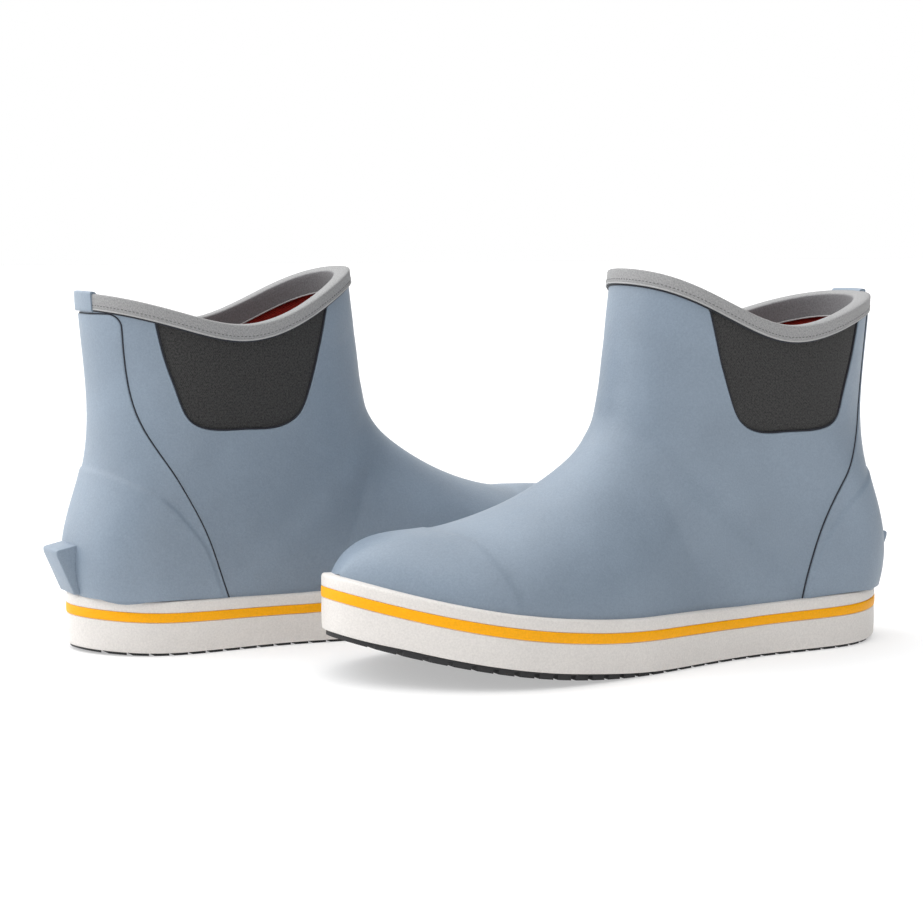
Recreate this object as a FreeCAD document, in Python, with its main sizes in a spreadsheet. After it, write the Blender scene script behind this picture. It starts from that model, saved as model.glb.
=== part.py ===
import FreeCAD, Part
import math
import os

import Sketcher  # noqa: F401  registers the sketch object type

V = FreeCAD.Vector

# A pair of ankle-high deck boots that stand side by side, toes pointing opposite ways.
# One boot is drawn in its own frame: x from the heel (0) to the toe, y to the outer side
# of the foot, z up from the floor. The left boot is that boot turned about z, and the
# right boot is its mirror image. +X of the pair is the way the right boot points.

DIMENSIONS = {
    # sole
    "sole_length": 300.0,
    "ball_width": 112.7,
    "heel_width": 81.0,
    "toe_spring": 21.4,
    "spring_start": 156.5,
    "heel_bevel": 1.3,
    "heel_bevel_length": 44.0,
    "tread_depth": 3.0,
    "tread_inset": 2.0,
    "groove_pitch": 9.0,
    "groove_width": 2.4,
    "groove_depth": 2.2,
    "tread_gap": 0.1,
    "outsole_core_bottom": -0.6,
    "outsole_top": 2.5,
    "midsole_top": 10.0,
    "board_bottom": 10.3,
    "board_top": 12.1,
    "footbed_bottom": 12.6,
    "footbed_top": 17.4,
    "core_inset": 4.8,
    "board_inset": 11.5,
    "footbed_inset": 13.0,
    "room_inset": 11.2,
    "room_top": 24.0,
    "shank_length": 96.0,
    "shank_width": 18.0,
    "shank_thickness": 1.4,
    "shank_start": 76.0,
    "shank_gap": 0.2,
    "shank_sink": 0.1,
    "rivet_radius": 2.25,
    # foxing, the rubber strip round the sole
    "foxing_heel": 23.9,
    "foxing_waist": 22.1,
    "foxing_ball": 24.5,
    "foxing_toe": 24.6,
    "foxing_wall": 4.5,
    "foxing_overhang": 2.5,
    "stripe_drop": 0.235,
    "stripe_share": 0.2,
    "stripe_depth": 0.85,
    "stripe_proud": 0.25,
    "stripe_floor": 0.75,
    "stripe_gap": 0.05,
    # layers of the upper, measured inwards from its outer surface
    "shell_thickness": 2.6,
    "stiffener_out": 2.7,
    "stiffener_in": 3.5,
    "lining_out": 3.6,
    "lining_in": 5.4,
    "lining_bottom": 18.2,
    "gore_out": 0.3,
    "gore_in": 2.4,
    "gore_gap": 0.25,
    "overlay_out": -0.9,
    "overlay_in": -0.1,
    "overlay_gap": 0.2,
    "overlay_corner": 3.0,
    "layer_gap": 0.15,
    "inner_slimming": 1.3,
    "toe_puff_start": 236.0,
    "heel_counter_end": 62.0,
    "heel_counter_top": 74.0,
    # collar binding, back tab and kick tab
    "binding_height": 7.5,
    "binding_thickness": 1.3,
    "tab_thickness": 0.8,
    "tab_width": 24.0,
    "tab_height": 9.0,
    "kick_width": 20.0,
    "kick_reach": 9.5,
    "kick_top": 50.0,
    "kick_foot": 28.5,
    "kick_round": 1.6,
    "kick_root": 8.0,
    "kick_lip": 4.0,
    "kick_toe": 1.0,
    "notch_drop": 8.0,
    # places of the two boots
    "row_shift_x": 187.2,
    "row_shift_y": 69.0,
    "row_middle_y": 0.8,
    "half_span": 90.0,
}

# Sections of the upper, from the toe to above the collar. Each one lies in a plane across
# the boot, from a point of the top profile to a point of the sole or back profile. A width
# of 0 follows the sole, and a base height of 0 rests on it. Narrowing is the share of the
# width left at the top, and the two roundings are the lengths of the rounded ends.
STATIONS = (
    # name, top x, top z, base x, base z, half width, narrowing, top and base rounding
    ("tip", 297.0, 46.5, 297.0, 33.0, 0.0, 1.00, 6.0, 6.0),
    ("toe_front", 293.5, 53.5, 294.0, 0.0, 0.0, 0.97, 16.0, 10.0),
    ("toe_round", 284.0, 61.0, 285.0, 0.0, 0.0, 0.97, 26.0, 10.0),
    ("toe_top", 268.0, 65.5, 268.0, 0.0, 0.0, 0.97, 34.0, 10.0),
    ("toe_cap", 246.0, 66.5, 243.0, 0.0, 0.0, 0.97, 40.0, 10.0),
    ("forefoot", 220.0, 71.5, 210.0, 0.0, 0.0, 0.96, 46.0, 10.0),
    ("vamp", 196.0, 81.0, 172.0, 0.0, 0.0, 0.94, 53.0, 10.0),
    ("instep", 175.5, 93.5, 125.0, 0.0, 0.0, 0.92, 55.0, 12.0),
    ("bend", 162.5, 105.5, 66.0, 0.0, 0.0, 0.96, 57.0, 16.0),
    ("heel_turn", 156.5, 117.0, 15.0, 9.5, 38.6, 0.98, 56.0, 28.0),
    ("heel_back", 155.2, 123.0, 3.4, 27.0, 38.4, 0.99, 56.0, 34.0),
    ("ankle", 154.0, 129.0, 1.2, 48.0, 38.5, 1.00, 56.0, 38.0),
    ("shaft_low", 152.5, 141.0, 10.5, 85.0, 40.0, 1.00, 60.0, 50.0),
    ("shaft_mid", 150.5, 155.0, 13.5, 122.0, 42.0, 1.00, 64.0, 60.0),
    ("shaft_top", 148.0, 172.0, 10.5, 160.0, 43.5, 1.00, 67.0, 65.0),
    ("above_collar", 145.5, 190.0, 9.5, 182.0, 44.0, 1.00, 67.0, 67.0),
)
STATION_VALUES = ("top_x", "top_z", "base_x", "base_z", "width", "narrow", "top_round", "base_round")

# The sole's outline seen from above, round the outer side and back along the inner side:
# share of the length, share of the half heel width, share of the half ball width, extra.
OUTLINE = (
    (0.0, 0.0, 0.0, 0.0), (0.035, 0.6, 0.0, 0.0), (0.12, 1.0, 0.0, 0.0), (0.3, 1.0, 0.0, 1.5),
    (0.48, 0.45, 0.55, 1.0), (0.66, 0.0, 1.0, 2.0), (0.8, 0.0, 0.95, 0.0), (0.915, 0.0, 0.62, 0.0),
    (0.985, 0.0, 0.2, 0.0), (1.0, 0.0, -0.12, 0.0), (0.975, 0.0, -0.45, 0.0), (0.91, 0.0, -0.8, 0.0),
    (0.8, 0.0, -1.0, 0.0), (0.68, 0.0, -0.96, 0.0), (0.5, -0.55, -0.35, 0.0), (0.3, -0.94, 0.0, 0.0),
    (0.12, -0.98, 0.0, 0.0), (0.035, -0.58, 0.0, 0.0),
)
# The collar's edge seen from the side, from behind the heel to in front of the shin.
COLLAR = ((-25.0, 176.5), (10.0, 173.0), (43.0, 164.5), (78.0, 158.0), (112.0, 169.0), (146.0, 185.0),
          (175.0, 189.0))
# The gore's outline seen from the side; its top runs up under the collar binding.
GORE = ((31.0, 164.0), (36.5, 140.0), (42.0, 124.0), (48.5, 111.0), (60.0, 106.8), (78.0, 106.4),
        (95.0, 107.0), (105.5, 112.5), (111.5, 124.0), (116.5, 140.0), (122.5, 165.0))
# The front edge of the heel overlay, from its top down to the foxing.
OVERLAY = ((19.5, 160.0), (21.5, 137.0), (27.5, 110.0), (35.0, 95.0), (47.0, 75.0), (56.0, 58.0),
           (62.0, 42.0), (69.0, 20.0))
OVERLAY_TOP = 163.0

SQUARENESS_TOP = 2.1
SQUARENESS_BASE = 2.15
REST_ON_SOLE = 4.0
QUARTER_POINTS = 7
SIDE_POINTS = 3
OUTLINE_SAMPLES = 720
OUTLINE_SPANS = 6
OFFSET_POINTS = 42
LARGEST_ROUNDING = 0.85
NARROWING_ENDS = 0.75
LEAST_WIDTH = 0.5
LEAST_ROUNDING = 0.5
THINNEST = 0.4
TOE_STEPS = 6
WAIST_AT = 0.35
BALL_AT = 0.68
# Planes clear of the boot that close the regions and boxes.
BEHIND_HEEL = -25.0
BEYOND_TOE = 315.0
BELOW_FLOOR = 5.0
OVER_VAMP = 140.0
OVER_COLLAR = 195.0

doc = FreeCAD.newDocument("DeckBoots")
sheet = doc.addObject("Spreadsheet::Sheet", "Sizes")


def fill_sheet():
    rows = list(DIMENSIONS.items())
    for name, *values in STATIONS:
        rows += [(f"{name}_{key}", value) for key, value in zip(STATION_VALUES, values)]
    for number, (alias, value) in enumerate(rows, start=1):
        sheet.set(f"A{number}", alias.replace("_", " "))
        sheet.set(f"B{number}", str(value))
        sheet.setAlias(f"B{number}", alias)
    doc.recompute()


def size(alias):
    return float(sheet.get(alias))


# ---------------------------------------------------------------- the sole's two shapes

def sole_height(x):
    """Height of the foxing's lower edge above the floor: level, then rising to the toe."""
    start = size("spring_start")
    toe = min(max((x - start) / (size("sole_length") - start), 0.0), 1.0)
    bevel = size("heel_bevel_length")
    heel = min(max((bevel - x) / bevel, 0.0), 1.0)
    return size("tread_depth") + size("toe_spring") * toe ** 2 + size("heel_bevel") * heel ** 2


def foxing_height(x):
    length = size("sole_length")
    knots = ((0.0, size("foxing_heel")), (WAIST_AT * length, size("foxing_waist")),
             (BALL_AT * length, size("foxing_ball")), (length, size("foxing_toe")))
    for (low, first), (high, second) in zip(knots, knots[1:]):
        if x <= high:
            return first + (second - first) * max(x - low, 0.0) / (high - low)
    return knots[-1][1]


def outline_curve():
    """The sole's outline seen from above, a smooth closed curve."""
    length = size("sole_length")
    ball = size("ball_width") / 2
    heel = size("heel_width") / 2
    points = [V(share * length, at_heel * heel + at_ball * ball + extra, 0.0)
              for share, at_heel, at_ball, extra in OUTLINE]
    knots = [0.0]
    for first, second in zip(points, points[1:] + points[:1]):
        knots.append(knots[-1] + math.sqrt((second - first).Length))
    curve = Part.BSplineCurve()
    curve.interpolate(Points=points, PeriodicFlag=True, Parameters=knots)
    return curve


def half_width(samples, side, x):
    """Distance from the centre line to the outline on one side (+1 outer, -1 inner)."""
    best = 0.0
    for first, second in zip(samples, samples[1:] + samples[:1]):
        if (first.x - x) * (second.x - x) > 0.0 or first.x == second.x:
            continue
        y = first.y + (second.y - first.y) * (x - first.x) / (second.x - first.x)
        best = max(best, side * y)
    return best


# ---------------------------------------------------------------- solids for the sole

def sketch_with(name, edges, upright):
    """A sketch of the given edges, on the floor or standing along the boot."""
    sketch = doc.addObject("Sketcher::SketchObject", name)
    if upright:
        sketch.Placement = FreeCAD.Placement(V(0, 0, 0), FreeCAD.Rotation(V(1, 0, 0), 90))
    sketch.addGeometry(edges, False)
    return sketch


def closed_sketch(name, runs, upright=True):
    """A sketch of one closed outline: each run is a list of (x, z), two points for a line."""
    edges = []
    for run in runs:
        points = [V(x, z, 0.0) for x, z in run]
        if len(points) == 2:
            edges.append(Part.LineSegment(points[0], points[1]))
        else:
            curve = Part.BSplineCurve()
            curve.interpolate(points)
            edges.append(curve)
    return sketch_with(name, edges, upright)


def extrusion(name, base, alias, both_ways):
    solid = doc.addObject("Part::Extrusion", name)
    solid.Base = base
    solid.DirMode = "Normal"
    solid.Solid = True
    solid.Symmetric = both_ways
    share = "2 * " if both_ways else ""
    solid.setExpression("LengthFwd", f"{share}{sheet.Name}.{alias}")
    return solid


def plan_solid(name, outline, alias, inwards=1.0):
    """A tall solid whose plan is the sole's outline, moved inwards by a dimension."""
    inset = inwards * size(alias) if alias else 0.0
    span = outline.LastParameter - outline.FirstParameter
    points = []
    for number in range(OFFSET_POINTS):
        at = outline.FirstParameter + span * number / OFFSET_POINTS
        along = outline.tangent(at)[0]
        points.append(outline.value(at) + V(along.y, -along.x, 0.0) * inset)
    curve = Part.BSplineCurve()
    curve.interpolate(Points=points, PeriodicFlag=True)
    span = (curve.LastParameter - curve.FirstParameter) / OUTLINE_SPANS
    edges = []
    for number in range(OUTLINE_SPANS):
        piece = curve.copy()
        start = curve.FirstParameter + span * number
        piece.segment(start, start + span)
        edges.append(piece)
    return extrusion(name, sketch_with(name + "_sketch", edges, False), "half_span", True)


def sole_line(offset):
    """Points of a line that follows the sole's underside at a height above it."""
    start = size("spring_start")
    bevel = size("heel_bevel_length")
    length = size("sole_length")
    heel = [(BEHIND_HEEL, sole_height(0.0)), (0.0, sole_height(0.0)),
            (bevel / 2, sole_height(bevel / 2)), (bevel, sole_height(bevel))]
    flat = [heel[-1], (start, sole_height(start))]
    toe = [start + (length - start) * number / TOE_STEPS for number in range(TOE_STEPS + 1)]
    toe = [(x, sole_height(x)) for x in toe] + [(BEYOND_TOE, sole_height(length))]
    runs = [heel[:2], heel[1:], flat, toe[:-1], toe[-2:]]
    return [[(x, z + offset(x)) for x, z in run] for run in runs]


def sole_layer(name, low, high):
    """The slab between two lines that follow the sole, as wide as the boot and more."""
    bottom = sole_line(low)
    top = sole_line(high)
    ends = [[bottom[-1][-1], top[-1][-1]], [top[0][0], bottom[0][0]]]
    return extrusion(name, closed_sketch(name + "_sketch", bottom + [run[::-1] for run in top[::-1]] + ends),
                     "half_span", True)


def boolean(kind, name, first, second):
    result = doc.addObject(f"Part::{kind}", name)
    result.Base = first
    result.Tool = second
    result.Refine = False
    return result


def common(name, first, second):
    return boolean("Common", name, first, second)


def cut(name, first, second):
    return boolean("Cut", name, first, second)


def fuse(name, first, second):
    return boolean("Fuse", name, first, second)


def level(alias, extra=0.0):
    return lambda x: size(alias) + extra


# ---------------------------------------------------------------- the upper's surface

def normals(points, turn):
    """Outward unit vectors of a profile; turn is +1 for the top profile, -1 for the base."""
    result = []
    for number in range(len(points)):
        first = points[max(number - 1, 0)]
        last = points[min(number + 1, len(points) - 1)]
        along = last - first
        result.append(V(turn * along.z, 0.0, -turn * along.x).normalize())
    return result


def station_table(samples):
    rows = []
    for name, *_ in STATIONS:
        row = {key: size(f"{name}_{key}") for key in STATION_VALUES}
        row["base_z"] = row["base_z"] or sole_height(row["base_x"]) + REST_ON_SOLE
        overhang = size("foxing_overhang")
        sole_x = row["base_x"] * size("sole_length") / (size("sole_length") - overhang)
        for side, key in ((1, "outer"), (-1, "inner")):
            if row["width"]:
                row[key] = row["width"] - (size("inner_slimming") if side < 0 else 0.0)
            else:
                row[key] = max(half_width(samples, side, sole_x) - overhang, LEAST_WIDTH)
        rows.append(row)
    return rows


def section(row, top, base, inset):
    """Points round one section from its base, moved inwards by the inset."""
    line = top - base
    reach = line.Length
    top_round = max(row["top_round"] - inset, LEAST_ROUNDING)
    base_round = max(row["base_round"] - inset, LEAST_ROUNDING)
    shrink = min(1.0, LARGEST_ROUNDING * reach / (top_round + base_round))
    top_round *= shrink
    base_round *= shrink
    side_length = reach - top_round - base_round
    stops = [superellipse(number, base_round, SQUARENESS_BASE) for number in range(QUARTER_POINTS)]
    for number in range(SIDE_POINTS + 1):
        stops.append((base_round + side_length * number / SIDE_POINTS, 1.0))
    for number in range(QUARTER_POINTS - 1, -1, -1):
        depth, share = superellipse(number, top_round, SQUARENESS_TOP)
        stops.append((reach - depth, share))
    points = []
    for side, key in ((1, "outer"), (-1, "inner")):
        width = max(row[key] - inset, THINNEST)
        run = []
        for depth, share in stops:
            below_top = 1.0 - depth / reach
            narrow = row["narrow"] + (1.0 - row["narrow"]) * min(below_top / NARROWING_ENDS, 1.0)
            place = base + line * (depth / reach)
            run.append(V(place.x, side * share * width * narrow, place.z))
        points += run[:-1] if side > 0 else run[::-1]
    return points


def superellipse(number, rounding, squareness):
    angle = math.pi / 2 * number / QUARTER_POINTS
    cosine = math.cos(angle)
    sine = math.sin(angle)
    reach = (cosine ** squareness + sine ** squareness) ** (-1.0 / squareness)
    return rounding * (1.0 - cosine * reach), sine * reach


def upper_solid(name, rows, inset):
    """The whole upper as one solid, its surface moved inwards by the inset."""
    tops = [V(row["top_x"], 0.0, row["top_z"]) for row in rows]
    bases = [V(row["base_x"], 0.0, row["base_z"]) for row in rows]
    loops = []
    for row, top, base, up, down in zip(rows, tops, bases, normals(tops, 1), normals(bases, -1)):
        loops.append(section(row, top - up * inset, base - down * inset, inset))
    surface = Part.BSplineSurface()
    surface.interpolate(loops)
    skin = surface.toShape()
    ends = [Part.Face(Part.Wire([edge])) for edge in skin.Edges if edge.isClosed()]
    shell = Part.makeShell([skin] + ends)
    shell.sewShape()
    feature = doc.addObject("Part::Feature", name)
    feature.Shape = Part.makeSolid(shell)
    return feature


# ---------------------------------------------------------------- regions seen from the side

def region(name, runs):
    """A closed side view, as thick as the boot and more."""
    return extrusion(name, closed_sketch(name + "_sketch", runs), "half_span", True)


def collar_edge(drop):
    return [(x, z - drop) for x, z in COLLAR]


def between_sole_and_collar(name, low, drop):
    """Everything above a line that follows the sole and under the lowered collar's edge."""
    edge = collar_edge(drop)
    bottom = sole_line(low)
    corners = [bottom[-1][-1], (bottom[-1][-1][0], OVER_VAMP), (edge[-1][0], OVER_VAMP), edge[-1]]
    sides = [[first, last] for first, last in zip(corners, corners[1:])]
    return region(name, bottom + sides + [edge[::-1], [edge[0], bottom[0][0]]])


def between_collars(name, top, bottom):
    """The band between the collar's edge at two drops."""
    high = collar_edge(top)
    low = collar_edge(bottom)
    return region(name, [low, [low[-1], high[-1]], high[::-1], [high[0], low[0]]])


def gore_region(name, gap):
    """The gore's side view, made smaller by the gap all round."""
    middle = V(sum(x for x, _ in GORE) / len(GORE), sum(z for _, z in GORE) / len(GORE), 0.0)
    edge = []
    for x, z in GORE:
        towards = (middle - V(x, z, 0.0)).normalize() * gap
        edge.append((x + towards.x, z + towards.y))
    over = [(x, OVER_COLLAR) for x in (edge[-1][0], edge[0][0])]
    return region(name, [edge, [edge[-1], over[0]], over, [over[1], edge[0]]])


def box(name, length, width, height, corner):
    solid = doc.addObject("Part::Box", name)
    for key, value in (("Length", length), ("Width", width), ("Height", height)):
        solid.setExpression(key, value)
    solid.Placement.Base = corner
    return solid


def one_side(name, side):
    """Half of space: the outer side of the foot (+1) or the inner side (-1)."""
    return box(name, f"2 * {sheet.Name}.sole_length", f"{sheet.Name}.half_span", f"{sheet.Name}.sole_length",
               V(-size("half_span"), -size("half_span") if side < 0 else 0.0, -size("half_span") / 2))


# ---------------------------------------------------------------- the pieces of one boot

class Uppers:
    """The upper's surface at each inset, made once and kept by inset."""

    def __init__(self, rows):
        self.rows = rows
        self.made = {}

    def at(self, inset):
        inset = round(inset, 3)
        if inset not in self.made:
            self.made[inset] = upper_solid(f"upper_{len(self.made)}", self.rows, inset)
        return self.made[inset]

    def layer(self, name, out, inside, *zones):
        """The wall between two insets, within the given regions."""
        block = self.at(out)
        for number, zone in enumerate(zones, start=1):
            block = common(f"{name}_block_{number}", block, zone)
        return cut(name, block, self.at(inside))


def make_outsole(outline):
    """Tread plate with cross grooves, and its raised middle inside the foxing."""
    plan = plan_solid("tread_plan", outline, "tread_inset")
    layer = sole_layer("tread_layer", lambda x: -size("tread_depth"), lambda x: -size("tread_gap"))
    tread = common("tread_block", plan, layer)
    grooved = cut("tread_grooved", tread, make_grooves())
    middle = common("tread_middle", plan_solid("outsole_core", outline, "core_inset"),
                    sole_layer("outsole_layer", level("outsole_core_bottom"), level("outsole_top")))
    return fuse("outsole", grooved, middle)


def make_grooves():
    pitch = size("groove_pitch")
    width = size("groove_width")
    depth = size("groove_depth")
    edges = []
    for number in range(1, int(size("sole_length") / pitch)):
        x = number * pitch
        floor = sole_height(x) - size("tread_depth")
        corners = [V(x, floor - BELOW_FLOOR, 0), V(x + width, floor - BELOW_FLOOR, 0),
                   V(x + width, floor + depth, 0), V(x, floor + depth, 0)]
        edges += [Part.LineSegment(first, last) for first, last in zip(corners, corners[1:] + corners[:1])]
    return extrusion("grooves", sketch_with("grooves_sketch", edges, True), "half_span", True)


def make_midsole(outline):
    return common("midsole_whole", plan_solid("midsole_core", outline, "core_inset"),
                  sole_layer("midsole_layer", level("outsole_top", size("tread_gap")), level("midsole_top")))


def make_shank():
    """Stiffening plate let into the top of the midsole under the arch, with two rivet holes."""
    body = doc.addObject("PartDesign::Body", "shank_plate")
    plane = next(item for item in body.Origin.OriginFeatures if item.Role == "XY_Plane")
    sketch = body.newObject("Sketcher::SketchObject", "shank_sketch")
    sketch.AttachmentSupport = [(plane, "")]
    sketch.MapMode = "FlatFace"
    half = size("shank_width") / 2
    start = half
    end = size("shank_length") - half
    up = V(0, 0, 1)
    sketch.addGeometry([Part.LineSegment(V(start, half, 0), V(end, half, 0)),
                        Part.ArcOfCircle(Part.Circle(V(end, 0, 0), up, half), -math.pi / 2, math.pi / 2),
                        Part.LineSegment(V(end, -half, 0), V(start, -half, 0)),
                        Part.ArcOfCircle(Part.Circle(V(start, 0, 0), up, half), math.pi / 2, 3 * math.pi / 2),
                        Part.Circle(V(start, 0, 0), up, size("rivet_radius")),
                        Part.Circle(V(end, 0, 0), up, size("rivet_radius"))], False)
    pad = body.newObject("PartDesign::Pad", "shank_pad")
    pad.Profile = sketch
    pad.setExpression("Length", f"{sheet.Name}.shank_thickness")
    body.Tip = pad
    top = size("tread_depth") + size("midsole_top") - size("shank_sink")
    body.Placement.Base = V(size("shank_start"), 0.0, top - size("shank_thickness"))
    return body


def make_shank_recess():
    gap = size("shank_gap")
    corner = V(size("shank_start") - gap, -size("shank_width") / 2 - gap,
               size("tread_depth") + size("midsole_top") - size("shank_thickness") - gap)
    return box("shank_recess", f"{sheet.Name}.shank_length + 2 * {sheet.Name}.shank_gap",
               f"{sheet.Name}.shank_width + 2 * {sheet.Name}.shank_gap", f"{sheet.Name}.shank_thickness + 1", corner)


def make_flat_layer(name, outline, low, high):
    """A layer that follows the sole inside the upper: the insole board or the footbed."""
    plan = plan_solid(name + "_plan", outline, name.split("_")[-1] + "_inset")
    return common(name, plan, sole_layer(name + "_layer", level(low), level(high)))


def make_foxing(outline, uppers):
    """Rubber strip round the sole, with a groove for the stripe."""
    plan = plan_solid("foxing_plan", outline, None)
    band = common("foxing_band", plan, sole_layer("foxing_layer", lambda x: 0.0, foxing_height))
    core = plan_solid("foxing_core", outline, "foxing_wall")
    ring = cut("foxing_ring", band, core)
    ring = cut("foxing_seat", ring, uppers.at(-size("layer_gap")))
    bounds = stripe_bounds(size("stripe_gap"))
    groove = stripe_ring("groove", outline, bounds, "foxing_wall", "stripe_depth")
    return cut("foxing", ring, groove)


def stripe_ring(name, outline, bounds, proud, floor):
    """A band that follows the foxing between two heights and between two offsets."""
    plan = plan_solid(name + "_plan", outline, proud, -1.0)
    inside = plan_solid(name + "_inside", outline, floor)
    ring = cut(name + "_ring", plan, inside)
    return common(name, ring, sole_layer(name + "_layer", *bounds))


def stripe_bounds(gap):
    """The stripe's lower and upper edge, each moved outwards by the gap."""
    low = 1.0 - size("stripe_drop") - size("stripe_share")
    high = 1.0 - size("stripe_drop")
    return lambda x: low * foxing_height(x) - gap, lambda x: high * foxing_height(x) + gap


def make_stripe(outline):
    bounds = stripe_bounds(-size("stripe_gap"))
    return stripe_ring("foxing_stripe", outline, bounds, "stripe_proud", "stripe_floor")


def make_room(outline):
    """The space inside the lining that the insole board and the footbed take up."""
    plan = plan_solid("room_plan", outline, "room_inset")
    return common("room", plan, sole_layer("room_layer", level("outsole_top"), level("room_top")))


def lasted_zone(name, bottom="board_bottom"):
    """From the midsole, or another level, up to just under the top of the binding."""
    return between_sole_and_collar(name, level(bottom), size("binding_thickness") + size("layer_gap"))


def make_shell(uppers, window, room):
    wall = uppers.layer("shell_wall", 0.0, size("shell_thickness"), lasted_zone("shell_zone"))
    return cut("shell", cut("shell_with_room", wall, room), window)


def make_lining(uppers):
    """Fabric inside the upper, from just over the footbed to the collar."""
    zone = lasted_zone("lining_zone", "lining_bottom")
    return uppers.layer("lining", size("lining_out"), size("lining_in"), zone)


def make_stiffener(name, uppers, zone, room):
    lasted = lasted_zone(name + "_zone")
    wall = uppers.layer(name + "_wall", size("stiffener_out"), size("stiffener_in"), lasted, zone)
    return cut(name, wall, room)


def make_gore(name, uppers, window, side):
    return uppers.layer(name, size("gore_out"), size("gore_in"), lasted_zone(name + "_zone"), window,
                        one_side(name + "_side", side))


def make_overlay(uppers):
    """Thin rubber layer wrapped round the heel, from the foxing up to the collar."""
    edge = list(OVERLAY)
    low = (BEHIND_HEEL, edge[-1][1])
    high = (BEHIND_HEEL, OVERLAY_TOP)
    corner = (edge[0][0] - size("overlay_corner"), OVERLAY_TOP)
    zone = region("overlay_zone", [edge, [edge[-1], low], [low, high], [high, corner], [corner, edge[0]]])
    foot = lambda x: foxing_height(x) + size("overlay_gap")
    over_foxing = between_sole_and_collar("overlay_sole", foot, 0.0)
    piece = uppers.layer("overlay_wall", size("overlay_out"), size("overlay_in"), zone, over_foxing)
    gap = size("overlay_gap")
    corner = V(BEHIND_HEEL, -size("kick_width") / 2 - gap, size("kick_foot") - size("notch_drop"))
    notch = box("overlay_notch", f"{-BEHIND_HEEL} + {sheet.Name}.kick_root",
                f"{sheet.Name}.kick_width + 2 * {sheet.Name}.overlay_gap",
                f"{sheet.Name}.kick_top - {sheet.Name}.kick_foot + {sheet.Name}.notch_drop + {sheet.Name}.overlay_gap",
                corner)
    return cut("heel_overlay", piece, notch)


def folded_strip(name, uppers, out, inside, gap, top, height):
    """Tape folded over the collar's edge, with a leg outside and a leg inside.

    The legs lie outside and inside a wall of the upper, with a gap, up to the given drop
    below the collar's edge; the fold's top stands at its own drop.
    """
    thick, top_drop, slot_drop = top
    outer_zone = between_collars(name + "_zone", top_drop, height)
    block = uppers.layer(name + "_legs", out - gap - thick, inside + gap + thick, outer_zone)
    slot_zone = between_sole_and_collar(name + "_slot_zone", level("board_bottom"), slot_drop)
    slot = uppers.layer(name + "_slot", out - gap, inside + gap, slot_zone)
    return cut(name, block, slot)


def make_binding(uppers):
    thick = size("binding_thickness")
    return folded_strip("collar_binding", uppers, 0.0, size("lining_in"), size("layer_gap"),
                        (thick, 0.0, thick), size("binding_height"))


def make_back_tab(uppers):
    """Strip folded over the binding at the back."""
    thick = size("tab_thickness")
    under = size("binding_thickness") + 2 * size("layer_gap")
    strip = folded_strip("tab_strip", uppers, -under, size("lining_in") + under, 0.0,
                         (thick, -thick - size("layer_gap"), -size("layer_gap")), size("tab_height"))
    middle = size("sole_length") / 4
    back = box("tab_box", f"{middle - BEHIND_HEEL}", f"{sheet.Name}.tab_width", f"{OVER_COLLAR}",
               V(BEHIND_HEEL, -size("tab_width") / 2, middle))
    return common("back_tab", strip, back)


def make_kick_tab(uppers):
    """Ledge at the back of the heel, for holding the boot down with the other foot."""
    body = doc.addObject("PartDesign::Body", "kick_body")
    plane = next(item for item in body.Origin.OriginFeatures if item.Role == "XZ_Plane")
    sketch = body.newObject("Sketcher::SketchObject", "kick_sketch")
    sketch.AttachmentSupport = [(plane, "")]
    sketch.MapMode = "FlatFace"
    root = size("kick_root")
    corners = [V(root, size("kick_top"), 0), V(-size("kick_reach"), size("kick_top"), 0),
               V(-size("kick_reach"), size("kick_top") - size("kick_lip"), 0),
               V(-size("kick_toe"), size("kick_foot"), 0), V(root, size("kick_foot"), 0)]
    edges = zip(corners, corners[1:] + corners[:1])
    sketch.addGeometry([Part.LineSegment(first, last) for first, last in edges], False)
    pad = body.newObject("PartDesign::Pad", "kick_pad")
    pad.Profile = sketch
    pad.Midplane = True
    pad.setExpression("Length", f"{sheet.Name}.kick_width")
    body.Tip = pad
    doc.recompute()
    rear = [f"Edge{number}" for number, edge in enumerate(pad.Shape.Edges, start=1)
            if edge.BoundBox.XMax < 0.5 and edge.BoundBox.YLength < 1.0]
    fillet = body.newObject("PartDesign::Fillet", "kick_fillet")
    fillet.Base = (pad, rear)
    fillet.setExpression("Radius", f"{sheet.Name}.kick_round")
    body.Tip = fillet
    return cut("kick_tab", body, uppers.at(-size("layer_gap")))


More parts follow.
